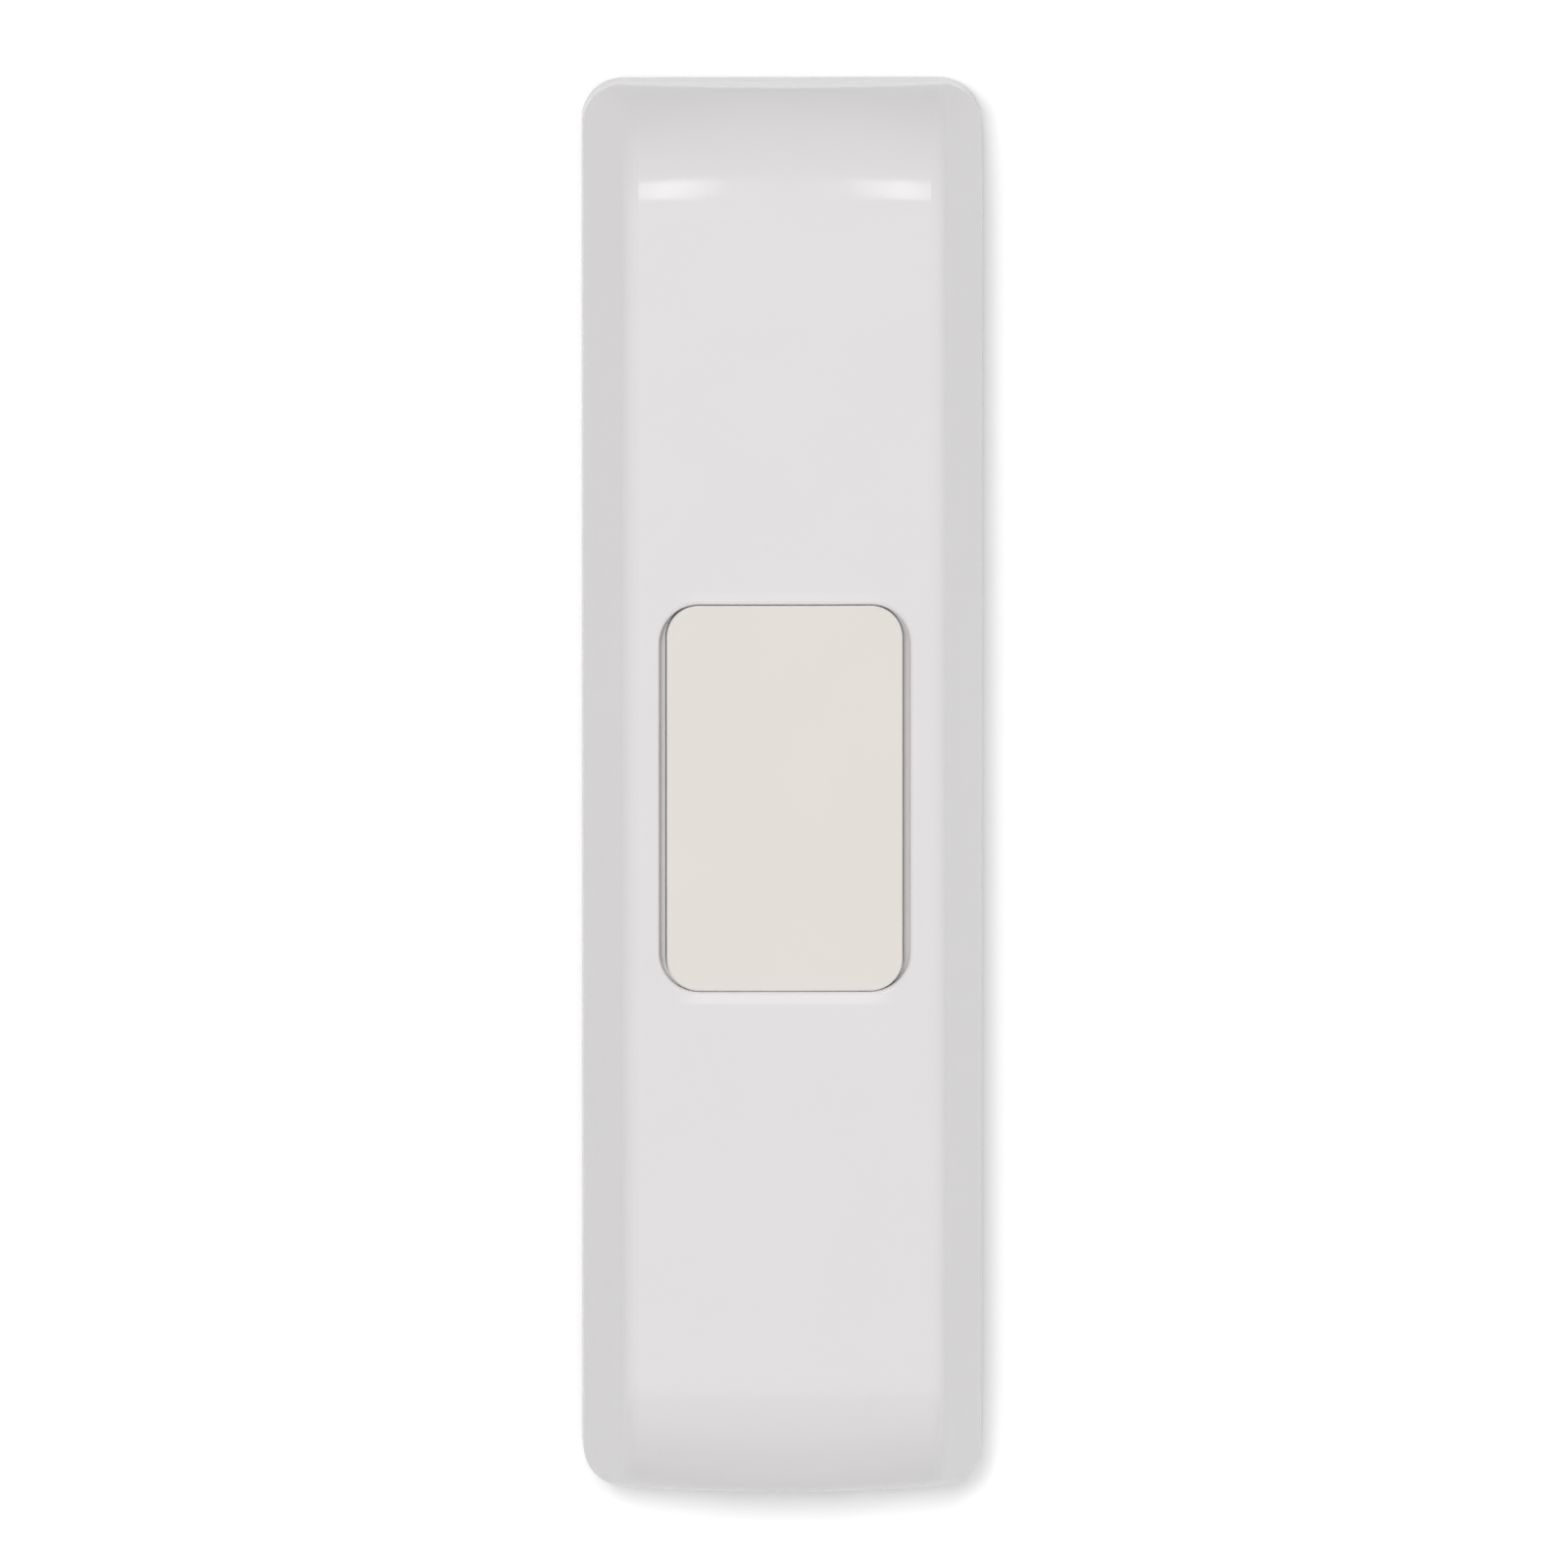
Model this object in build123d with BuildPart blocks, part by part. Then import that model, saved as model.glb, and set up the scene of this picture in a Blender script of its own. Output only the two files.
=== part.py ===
from build123d import *
import os

# Slim wireless doorbell push button: a snap-on front housing with a spring-loaded button, over a
# wall plate that carries the circuit board, the switch, the coin cell and the transmitter.
#
# Frame: the wall is the plane y = 0 and the front faces -Y, so a point at depth d lies at y = -d.
# X runs across and Z runs up. The origin is the middle of the wall face. Sizes are millimetres.

# ---- driving dimensions ----

# Housing, outside
body_width = 29.4
body_height = 104.0
body_depth = 18.0          # wall to the crown of the front
corner_radius = 3.0        # upright corners of the outline
side_wall_depth = 9.0      # straight part of each long side
side_slope_width = 3.05    # how far each long side then leans in
front_crown = 0.5          # fall of the front from its middle to the side slopes
nose_length = 9.2          # rounded fall of the front towards each end
nose_lead = 4.1            # how far the rounding keeps the direction of the front
nose_drop = 3.7            # and how far it falls before it turns into the end wall
nose_lean = 0.5            # how far it leans in from the end wall
end_wall_depth = 11.2      # height of an end wall on the centre line
end_wall_bow = 3.8         # how much lower it is where the side slopes start
side_end_depth = 4.0       # the side slopes' outer edges fall to this depth at the ends
bend_radius = 1.4          # rounding between the front and the side slopes
rim_radius = 1.0           # rounding between the upright walls and what lies in front of them
wall_gap = 0.3             # the rim stops this far from the wall

# Housing, inside
side_thickness = 1.5
front_thickness = 2.4
inner_nose_length = 5.0    # sloped part of the hollow at each end
inner_end_depth = 7.0      # where that slope starts
notch_width = 10.0         # slot in the bottom rim for a flat screwdriver
notch_depth = 1.5

# Button
button_side_margin = 2.95  # of the front, between the button and each side slope
button_height = 28.48
button_corner_radius = 2.4
button_side_gap = 0.06     # between the button and its opening
button_end_gap = 0.04
button_edge_radius = 0.15
opening_edge_radius = 0.3
groove_width = 0.45        # groove along each side of the opening, narrowing round its corners
groove_end_width = 0.03    # and along its ends
groove_depth = 1.7
button_wall = 1.5
button_top_thickness = 1.8
flange_width = 1.0
flange_thickness = 1.2
press_travel = 0.8
stop_clearance = 0.1       # left between flange and retainer at full press
stem_radius = 1.5
gasket_thickness = 0.5
gasket_inset = 0.15

# Button retainer and its screws
retainer_margin = 0.5      # beyond the button's flange at each side
retainer_thickness = 1.3
retainer_corner_radius = 1.5
window_side_margin = 2.3   # of the retainer, beside its window
retainer_boss_radius = 1.8
retainer_boss_gap = 0.3    # between the flange's ends and the bosses
retainer_boss_inset = 2.7  # boss centres from the retainer's sides
small_screw_radius = 0.7
small_head_radius = 1.5
small_head_height = 1.0
head_round = 0.4           # shares of a screw head: its rounding, and its cross recess
recess_span = 1.3
recess_width = 0.3
recess_depth = 0.5

# Return springs
spring_wall_gap = 1.05     # between the button's end walls and each spring's seat
window_end_margin = 1.4    # of the retainer, between its window and each spring's seat
spring_radius = 1.7        # to the middle of the wire
spring_wire = 0.4
spring_turns = 4
spring_seat_depth = 0.5
spring_pin_length = 1.0

# Rear plate
plate_thickness = 2.0
plate_clearance = 0.15     # between the plate and the housing's walls
wall_screw_radius = 2.1    # clearance hole for a 4 mm screw
wall_screw_inset = 4.0     # from the inside of each end wall
wall_screw_collar_radius = 3.8
wall_screw_collar_height = 0.6
pad_width = 14.0
pad_height = 24.0
pad_thickness = 0.8
pad_offset = 21.0          # pad centres from the plate's middle

# Friction pegs that hold the housing on the plate
peg_inset = 5.9            # from the inside of each end wall
peg_radius = 1.5
peg_clearance = 0.05
socket_radius = 2.5
socket_height = 3.0
socket_floor = 1.0
peg_tip_gap = 0.4

# Circuit board and its screws
board_side_margin = 0.3    # of the board, beside the battery holder
board_end_clearance = 0.6  # between the board and the peg sockets
board_thickness = 1.2
board_corner_radius = 0.8
standoff_height = 2.2
standoff_radius = 2.2
board_screw_side_inset = 2.5
board_screw_end_inset = 2.9
holder_screw_gap = 1.2     # between the battery holder and the upper screws' heads
board_screw_radius = 0.9
board_screw_length = 4.4
board_head_radius = 1.8
board_head_height = 1.2
screw_hole_clearance = 0.2
thread_clearance = 0.02    # between a screw and its pilot hole

# Push switch
switch_width = 6.2
switch_height = 3.4
switch_cover_thickness = 0.2
plunger_radius = 1.6
plunger_clearance = 0.1
plunger_length = 4.3
plunger_proud = 3.3        # plunger beyond the switch's cover
touch_gap = 0.05           # between the plunger and the button's stem
terminal_width = 0.7
terminal_reach = 1.1
terminal_thickness = 0.2
terminal_offset = 2.25

# Battery, holder and contacts
cell_radius = 10.0
cell_thickness = 3.2
cell_rim = 0.8
holder_side_wall = 1.0     # walls around the cell's pocket
holder_end_wall = 0.8
holder_end_margin = 0.5    # from the holder to the board's upper end
holder_floor = 0.9
cell_clearance = 0.2
contact_width = 4.0
contact_length = 8.0
contact_thickness = 0.2
contact_slot_clearance = 0.3
clip_width = 5.0
clip_length = 9.0
clip_bar_width = 14.0
clip_bar_height = 2.6
clip_thickness = 0.3

# Radio parts on the lower half of the board
chip_width = 3.9
chip_height = 8.6
chip_thickness = 1.4
chip_x = -4.5
chip_rise = 15.5           # heights of the parts' middles above the board's lower end
chip_stand_off = 0.15
lead_count = 7
lead_pitch = 1.27
lead_width = 0.4
lead_reach = 1.15
crystal_width = 4.6
crystal_height = 10.8
crystal_thickness = 3.6
crystal_x = 8.0
crystal_rise = 17.5
coil_radius = 2.2
coil_wire = 0.6
coil_leg_radius = 0.36     # the tinned ends are slightly thicker than the wire
coil_turns = 8
coil_length = 12.0
coil_x = 2.2
coil_rise = 8.0            # to the lower end of the coil
coil_stand_off = 0.3
capacitor_radius = 2.0
capacitor_height = 5.2
capacitor_base = 0.9
capacitor_x = -6.5
capacitor_rise = 7.1
led_gap = 0.1              # between the light and the switch's terminals
led_radius = 1.5
led_flange_radius = 1.9
led_flange_height = 0.8
led_straight_height = 3.6

# Small surface-mounted parts
smd_length = 2.0
smd_width = 1.25
smd_end = 0.4
resistor_thickness = 0.5
ceramic_thickness = 0.9
resistor_places = [(-8, -6), (-8, -9), (-8, -12), (8, -8), (8, -11), (-3, -15)]
ceramic_places = [(-8, 7), (-8, 4), (8, 8), (3, -15), (-8.5, -18.5)]

# ---- worked out from them ----

half_width = body_width / 2
half_height = body_height / 2
slope_top_x = half_width - side_slope_width
slope_top_depth = body_depth - front_crown
slope_run = side_slope_width / (slope_top_depth - side_wall_depth)   # sideways per unit of depth
nose_start = half_height - nose_length

inner_front = body_depth - front_thickness
inner_half_width = half_width - side_thickness
inner_half_height = half_height - side_thickness
inner_corner_radius = corner_radius - side_thickness

button_width = 2 * (slope_top_x - button_side_margin)
opening_width = button_width + 2 * button_side_gap
opening_height = button_height + 2 * button_end_gap
opening_corner_radius = button_corner_radius + button_side_gap
flange_front = inner_front - gasket_thickness
flange_back = flange_front - flange_thickness
flange_outline = (button_width + 2 * flange_width, button_height + 2 * flange_width)
flange_corner_radius = button_corner_radius + flange_width
button_ceiling = body_depth - button_top_thickness
spring_seat_radius = spring_radius + spring_wire
spring_offset = button_height / 2 - button_wall - spring_wall_gap - spring_seat_radius

retainer_front = flange_back - press_travel - stop_clearance
retainer_back = retainer_front - retainer_thickness
retainer_width = flange_outline[0] + 2 * retainer_margin
window_width = retainer_width - 2 * window_side_margin
window_height = 2 * (spring_offset - spring_seat_radius - window_end_margin)
retainer_boss_x = retainer_width / 2 - retainer_boss_inset
retainer_boss_z = flange_outline[1] / 2 + retainer_boss_gap + retainer_boss_radius
retainer_height = 2 * (retainer_boss_z + retainer_boss_radius)
retainer_screw_places = [
    (x, z) for x in (-retainer_boss_x, retainer_boss_x) for z in (-retainer_boss_z, retainer_boss_z)
]

slope_step = side_thickness * (1 + slope_run**2) ** 0.5   # wall thickness measured sideways
hollow_top_x = half_width - (inner_front - side_wall_depth) * slope_run - slope_step
hollow_wall_depth = side_wall_depth + (side_thickness - slope_step) / slope_run
peg_x = hollow_top_x - peg_radius
peg_z = inner_half_height - peg_inset
wall_screw_spacing = 2 * (inner_half_height - wall_screw_inset)

holder_width = 2 * (cell_radius + cell_clearance + holder_side_wall)
holder_height = 2 * (cell_radius + cell_clearance + holder_end_wall)
board_width = holder_width + 2 * board_side_margin
board_end = peg_z - socket_radius - board_end_clearance
board_height = 2 * board_end
board_back = plate_thickness + standoff_height
board_front = board_back + board_thickness
holder_z = board_end - holder_end_margin - holder_height / 2
board_screw_x = board_width / 2 - board_screw_side_inset
upper_screw_z = holder_z - holder_height / 2 - holder_screw_gap - board_head_radius
lower_screw_z = board_screw_end_inset - board_end
board_screw_places = [
    (x, z) for x in (-board_screw_x, board_screw_x) for z in (upper_screw_z, lower_screw_z)
]
board_support_places = [(-board_screw_x, -lower_screw_z), (board_screw_x, -lower_screw_z)]

switch_front = board_front + switch_height
switch_cover_front = switch_front + switch_cover_thickness
plunger_tip = switch_cover_front + plunger_proud

holder_front = board_front + holder_floor + cell_clearance + cell_thickness
cell_back = holder_front - cell_thickness

led_x = switch_width / 2 + terminal_reach + led_gap + led_flange_radius
chip_z = chip_rise - board_end
crystal_z = crystal_rise - board_end
coil_z = coil_rise - board_end
capacitor_z = capacitor_rise - board_end


def at_depth(depth):
    """Sketch plane parallel to the wall: local x is X, local y is Z, and extrusions go forwards."""
    return Plane.XZ.offset(depth)


def write_part(piece, name):
    """Label a finished piece and write it under the same name."""
    piece.part.label = name
    export_step(piece.part, f"parts/{name}.step")


def front_depth(x):
    """Depth of the crowned front at a distance x from the centre line."""
    return body_depth - front_crown * (x / slope_top_x) ** 2


def side_view(x, front, end_edge):
    """Outside seen from the side at x. The depths are those of its front and of its end walls' edges."""
    with BuildSketch(Plane.YZ.offset(x)) as view:
        with BuildLine():
            Polyline(
                (-end_edge, -half_height),
                (0, -half_height),
                (0, half_height),
                (-end_edge, half_height),
            )
            for end in (1, -1):
                Bezier(
                    (-end_edge, end * half_height),
                    (-front + nose_drop, end * (half_height - nose_lean)),
                    (-front, end * (nose_start + nose_lead)),
                    (-front, end * nose_start),
                )
            Line((-front, nose_start), (-front, -nose_start))
        make_face()
    return view.sketch


os.makedirs("parts", exist_ok=True)

# ---- front housing ----

# Outside: a crowned middle and two side slopes, lofted across the width and cut to the outline.
slope_end_edge = end_wall_depth - end_wall_bow
with BuildPart() as housing_outside:
    loft(
        [
            side_view(-slope_top_x, slope_top_depth, slope_end_edge),
            side_view(0, body_depth, end_wall_depth),
            side_view(slope_top_x, slope_top_depth, slope_end_edge),
        ]
    )
    for side in (-1, 1):
        loft(
            [
                side_view(side * slope_top_x, slope_top_depth, slope_end_edge),
                side_view(side * half_width, side_wall_depth, side_end_depth),
            ],
            ruled=True,
        )
    bends = housing_outside.edges().filter_by(
        lambda e: abs(abs(e.center().X) - slope_top_x) < 0.01 and -e.center().Y > side_wall_depth
    )
    fillet(bends, radius=bend_radius)
    with BuildSketch(at_depth(0)):
        RectangleRounded(body_width, body_height, corner_radius)
    extrude(amount=body_depth + 1, mode=Mode.INTERSECT)
    upright_walls = housing_outside.faces().filter_by(lambda f: abs(f.normal_at().Y) < 0.001)
    rear_edges = housing_outside.faces().sort_by(Axis.Y)[-1].edges()
    rim = upright_walls.edges() - upright_walls.edges().filter_by(Axis.Y) - rear_edges
    fillet(rim, radius=rim_radius)

# Inside: the hollow follows the outside with simpler flat faces.
with BuildPart() as housing_hollow:
    with BuildSketch(at_depth(0)):
        RectangleRounded(2 * inner_half_width, 2 * inner_half_height, inner_corner_radius)
    extrude(amount=inner_front)
    with BuildSketch(Plane.XY.offset(-half_height)):
        Polygon(
            (-inner_half_width, 0),
            (inner_half_width, 0),
            (inner_half_width, -hollow_wall_depth),
            (hollow_top_x, -inner_front),
            (-hollow_top_x, -inner_front),
            (-inner_half_width, -hollow_wall_depth),
            align=None,
        )
    extrude(amount=body_height, mode=Mode.INTERSECT)
    with BuildSketch(Plane.YZ.offset(-half_width)):
        Polygon(
            (0, -inner_half_height),
            (-inner_end_depth, -inner_half_height),
            (-inner_front, -inner_half_height + inner_nose_length),
            (-inner_front, inner_half_height - inner_nose_length),
            (-inner_end_depth, inner_half_height),
            (0, inner_half_height),
            align=None,
        )
    extrude(amount=body_width, mode=Mode.INTERSECT)

with BuildPart() as front_housing:
    add(housing_outside.part)
    add(housing_hollow.part, mode=Mode.SUBTRACT)
    with BuildSketch(at_depth(0)):
        Rectangle(body_width, body_height)
    extrude(amount=wall_gap, mode=Mode.SUBTRACT)
    with BuildSketch(at_depth(inner_front)):
        RectangleRounded(opening_width, opening_height, opening_corner_radius)
    extrude(amount=front_thickness, mode=Mode.SUBTRACT)
    # A wider cut in the front leaves a groove round the button, widest along its sides
    with BuildSketch(at_depth(body_depth - groove_depth)):
        RectangleRounded(
            opening_width + 2 * groove_width,
            opening_height + 2 * groove_end_width,
            opening_corner_radius + groove_width,
        )
    extrude(amount=groove_depth, mode=Mode.SUBTRACT)
    opening_rim = front_housing.edges().filter_by(
        lambda e: abs(e.center().X) < opening_width / 2 + groove_width + 0.01
        and abs(e.center().Z) < opening_height / 2 + groove_end_width + 0.01
        and -e.center().Y > body_depth - front_crown
    )
    fillet(opening_rim, radius=opening_edge_radius)
    # Bosses that the retainer is screwed to
    with BuildSketch(at_depth(retainer_front)):
        with Locations(*retainer_screw_places):
            Circle(retainer_boss_radius)
            Circle(small_screw_radius + thread_clearance, mode=Mode.SUBTRACT)
    extrude(amount=inner_front - retainer_front)
    # Pegs that push into the rear plate's sockets
    peg_tip = socket_floor + peg_tip_gap
    with BuildSketch(at_depth(peg_tip)):
        with GridLocations(2 * peg_x, 2 * peg_z, 2, 2):
            Circle(peg_radius)
    extrude(amount=inner_front - peg_tip)
    # Slot in the bottom rim for a flat screwdriver
    with BuildSketch(Plane.XY.offset(-half_height)):
        with Locations((0, -wall_gap - notch_depth / 2)):
            Rectangle(notch_width, notch_depth)
    extrude(amount=side_thickness, mode=Mode.SUBTRACT)
write_part(front_housing, "front_housing")

# ---- push button ----

with BuildPart() as push_button:
    with BuildSketch(at_depth(flange_back)):
        RectangleRounded(button_width, button_height, button_corner_radius)
    extrude(amount=body_depth - flange_back)
    # The face carries on the front's crown
    with BuildSketch(Plane.XY.offset(-button_height / 2)):
        with BuildLine():
            ThreePointArc(
                (-button_width / 2, -front_depth(button_width / 2)),
                (0, -body_depth),
                (button_width / 2, -front_depth(button_width / 2)),
            )
            Polyline(
                (button_width / 2, -front_depth(button_width / 2)),
                (button_width / 2, 0),
                (-button_width / 2, 0),
                (-button_width / 2, -front_depth(button_width / 2)),
            )
        make_face()
    extrude(amount=button_height, mode=Mode.INTERSECT)
    face_rim = push_button.faces().sort_by(Axis.Y)[0].edges()
    fillet(face_rim, radius=button_edge_radius)
    with BuildSketch(at_depth(flange_back)):
        RectangleRounded(*flange_outline, flange_corner_radius)
    extrude(amount=flange_thickness)
    with BuildSketch(at_depth(flange_back)):
        RectangleRounded(
            button_width - 2 * button_wall,
            button_height - 2 * button_wall,
            button_corner_radius / 2,
        )
    extrude(amount=button_ceiling - flange_back, mode=Mode.SUBTRACT)
    # Stem that works the switch, and a pin inside each spring
    stem_tip = plunger_tip + touch_gap
    with BuildSketch(at_depth(stem_tip)):
        Circle(stem_radius)
    extrude(amount=button_ceiling - stem_tip)
    with BuildSketch(at_depth(button_ceiling - spring_pin_length)):
        with Locations((0, spring_offset), (0, -spring_offset)):
            Circle(spring_radius - spring_wire)
    extrude(amount=spring_pin_length)
write_part(push_button, "push_button")

with BuildPart() as button_gasket:
    with BuildSketch(at_depth(flange_front)):
        RectangleRounded(
            flange_outline[0] - 2 * gasket_inset,
            flange_outline[1] - 2 * gasket_inset,
            flange_corner_radius - gasket_inset,
        )
        RectangleRounded(
            button_width + 2 * gasket_inset,
            button_height + 2 * gasket_inset,
            button_corner_radius + gasket_inset,
            mode=Mode.SUBTRACT,
        )
    extrude(amount=gasket_thickness)
write_part(button_gasket, "button_gasket")

# ---- retainer, its screws and the springs ----

spring_seat = retainer_front - spring_seat_depth
with BuildPart() as button_retainer:
    with BuildSketch(at_depth(retainer_back)):
        RectangleRounded(retainer_width, retainer_height, retainer_corner_radius)
        Rectangle(window_width, window_height, mode=Mode.SUBTRACT)
        with Locations(*retainer_screw_places):
            Circle(small_screw_radius + screw_hole_clearance, mode=Mode.SUBTRACT)
    extrude(amount=retainer_thickness)
    with BuildSketch(at_depth(spring_seat)):
        with Locations((0, spring_offset), (0, -spring_offset)):
            Circle(spring_seat_radius)
    extrude(amount=spring_seat_depth, mode=Mode.SUBTRACT)
write_part(button_retainer, "button_retainer")


def pan_head_screws(places, seat, facing, head_radius, head_height, shank_radius, shank_length):
    """Screws seated at one depth; facing is 1 with the heads to the front and -1 to the wall."""
    with BuildPart() as screws:
        with BuildSketch(at_depth(seat)):
            with Locations(*places):
                Circle(head_radius)
        extrude(amount=facing * head_height)
        rims = screws.edges().group_by(Axis.Y)
        fillet(rims[0] if facing == 1 else rims[-1], radius=head_round * head_height)
        with BuildSketch(at_depth(seat)):
            with Locations(*places):
                Circle(shank_radius)
        extrude(amount=-facing * shank_length)
        with BuildSketch(at_depth(seat + facing * head_height)):
            with Locations(*places):
                Rectangle(recess_span * head_radius, recess_width * head_radius)
                Rectangle(recess_width * head_radius, recess_span * head_radius)
        extrude(amount=-facing * recess_depth * head_height, mode=Mode.SUBTRACT)
    return screws


retainer_screws = pan_head_screws(
    retainer_screw_places,
    retainer_back,
    -1,
    small_head_radius,
    small_head_height,
    small_screw_radius,
    inner_front - thread_clearance - retainer_back,
)
write_part(retainer_screws, "retainer_screws")


def coil_spring(start, direction, radius, wire, turns, length):
    """A plain helical coil whose wire starts at one end and finishes at the other."""
    with BuildPart() as coil:
        with BuildLine() as path:
            Helix(pitch=length / turns, height=length, radius=radius, center=start, direction=direction)
        with BuildSketch(Plane(origin=path.line @ 0, z_dir=path.line % 0)):
            Circle(wire / 2)
        sweep(is_frenet=True)
    return coil


spring_length = button_ceiling - spring_seat - spring_wire - 2 * touch_gap
spring_start = spring_seat + spring_wire / 2 + touch_gap
for name, z in (("upper_spring", spring_offset), ("lower_spring", -spring_offset)):
    spring = coil_spring(
        (0, -spring_start, z), (0, -1, 0), spring_radius, spring_wire, spring_turns, spring_length
    )
    write_part(spring, name)

# ---- rear plate ----

with BuildPart() as rear_plate:
    with BuildSketch(at_depth(0)):
        RectangleRounded(
            2 * (inner_half_width - plate_clearance),
            2 * (inner_half_height - plate_clearance),
            inner_corner_radius - plate_clearance,
        )
    extrude(amount=plate_thickness)
    with BuildSketch(at_depth(plate_thickness)):
        with GridLocations(0, wall_screw_spacing, 1, 2):
            Circle(wall_screw_collar_radius)
    extrude(amount=wall_screw_collar_height)
    with BuildSketch(at_depth(0)):
        with GridLocations(0, wall_screw_spacing, 1, 2):
            Circle(wall_screw_radius)
    extrude(amount=plate_thickness + wall_screw_collar_height, mode=Mode.SUBTRACT)
    # Sockets for the housing's pegs
    with BuildSketch(at_depth(plate_thickness)):
        with GridLocations(2 * peg_x, 2 * peg_z, 2, 2):
            Circle(socket_radius)
    extrude(amount=socket_height)
    with BuildSketch(at_depth(socket_floor)):
        with GridLocations(2 * peg_x, 2 * peg_z, 2, 2):
            Circle(peg_radius + peg_clearance)
    extrude(amount=plate_thickness - socket_floor + socket_height, mode=Mode.SUBTRACT)
    # Standoffs for the board, with pilot holes, and two plain supports
    with BuildSketch(at_depth(plate_thickness)):
        with Locations(*board_screw_places, *board_support_places):
            Circle(standoff_radius)
    extrude(amount=standoff_height)
    pilot_floor = board_front - board_screw_length - thread_clearance
    with BuildSketch(at_depth(pilot_floor)):
        with Locations(*board_screw_places):
            Circle(board_screw_radius + thread_clearance)
    extrude(amount=board_back - pilot_floor, mode=Mode.SUBTRACT)
    # Shallow pockets in the back for the adhesive pads
    with BuildSketch(at_depth(0)):
        with GridLocations(0, 2 * pad_offset, 1, 2):
            Rectangle(pad_width, pad_height)
    extrude(amount=pad_thickness, mode=Mode.SUBTRACT)
write_part(rear_plate, "rear_plate")

with BuildPart() as adhesive_pads:
    with BuildSketch(at_depth(0)):
        with GridLocations(0, 2 * pad_offset, 1, 2):
            Rectangle(pad_width, pad_height)
    extrude(amount=pad_thickness)
write_part(adhesive_pads, "adhesive_pads")

# ---- circuit board ----

with BuildPart() as circuit_board:
    with BuildSketch(at_depth(board_back)):
        RectangleRounded(board_width, board_height, board_corner_radius)
        with Locations(*board_screw_places):
            Circle(board_screw_radius + screw_hole_clearance, mode=Mode.SUBTRACT)
    extrude(amount=board_thickness)
write_part(circuit_board, "circuit_board")

board_screws = pan_head_screws(
    board_screw_places,
    board_front,
    1,
    board_head_radius,
    board_head_height,
    board_screw_radius,
    board_screw_length,
)
write_part(board_screws, "board_screws")

# ---- push switch ----

plunger_back = plunger_tip - plunger_length
with BuildPart() as switch_body:
    with BuildSketch(at_depth(board_front)):
        Rectangle(switch_width, switch_width)
    extrude(amount=switch_height)
    with BuildSketch(at_depth(plunger_back - press_travel - plunger_clearance)):
        Circle(plunger_radius + plunger_clearance)
    extrude(amount=switch_front - plunger_back + press_travel + plunger_clearance, mode=Mode.SUBTRACT)
write_part(switch_body, "switch_body")

with BuildPart() as switch_cover:
    with BuildSketch(at_depth(switch_front)):
        Rectangle(switch_width, switch_width)
        Circle(plunger_radius + plunger_clearance, mode=Mode.SUBTRACT)
    extrude(amount=switch_cover_thickness)
write_part(switch_cover, "switch_cover")

with BuildPart() as switch_plunger:
    with BuildSketch(at_depth(plunger_back)):
        Circle(plunger_radius)
    extrude(amount=plunger_length)
    fillet(switch_plunger.edges().group_by(Axis.Y)[0], radius=plunger_clearance * 2)
write_part(switch_plunger, "switch_plunger")

with BuildPart() as switch_terminals:
    for z in (terminal_offset, -terminal_offset):
        for side in (-1, 1):
            with BuildSketch(Plane.XY.offset(z - terminal_width / 2)):
                near = side * switch_width / 2
                Polygon(
                    (near, -board_front),
                    (near + side * terminal_reach, -board_front),
                    (near + side * terminal_reach, -board_front - terminal_thickness),
                    (near + side * terminal_thickness, -board_front - terminal_thickness),
                    (near + side * terminal_thickness, -board_front - switch_height / 2),
                    (near, -board_front - switch_height / 2),
                    align=None,
                )
            extrude(amount=terminal_width)
write_part(switch_terminals, "switch_terminals")

# ---- battery ----

with BuildPart() as battery_holder:
    with BuildSketch(at_depth(board_front)):
        with Locations((0, holder_z)):
            Rectangle(holder_width, holder_height)
            Rectangle(
                contact_width + 2 * contact_slot_clearance,
                contact_length + 2 * contact_slot_clearance,
                mode=Mode.SUBTRACT,
            )
    extrude(amount=holder_front - board_front)
    with BuildSketch(at_depth(board_front + holder_floor)):
        with Locations((0, holder_z)):
            Circle(cell_radius + cell_clearance)
    extrude(amount=holder_front - board_front - holder_floor, mode=Mode.SUBTRACT)
    # Thumb recess towards the middle of the board, to lift the cell out
    with BuildSketch(at_depth(board_front + holder_floor)):
        with Locations((0, holder_z - holder_height / 2)):
            Rectangle(cell_radius, cell_radius)
    extrude(amount=holder_front - board_front - holder_floor, mode=Mode.SUBTRACT)
write_part(battery_holder, "battery_holder")

with BuildPart() as coin_cell:
    with BuildSketch(at_depth(cell_back)):
        with Locations((0, holder_z)):
            Circle(cell_radius - cell_rim)
    extrude(amount=cell_thickness)
    with BuildSketch(at_depth(cell_back + cell_clearance)):
        with Locations((0, holder_z)):
            Circle(cell_radius)
    extrude(amount=cell_thickness - cell_clearance)
    fillet(coin_cell.edges().group_by(Axis.Y)[0], radius=cell_clearance)
write_part(coin_cell, "coin_cell")

with BuildPart() as negative_contact:
    half_contact = contact_length / 2
    arch_top = cell_back - contact_thickness
    arch = [
        (board_front, -half_contact),
        (board_front, -half_contact / 2),
        (arch_top, -half_contact / 8),
        (arch_top, half_contact / 8),
        (board_front, half_contact / 2),
        (board_front, half_contact),
    ]
    with BuildSketch(Plane.YZ.offset(-contact_width / 2)):
        Polygon(
            *[(-depth, holder_z + z) for depth, z in arch],
            *[(-depth - contact_thickness, holder_z + z) for depth, z in reversed(arch)],
            align=None,
        )
    extrude(amount=contact_width)
write_part(negative_contact, "negative_contact")

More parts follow.
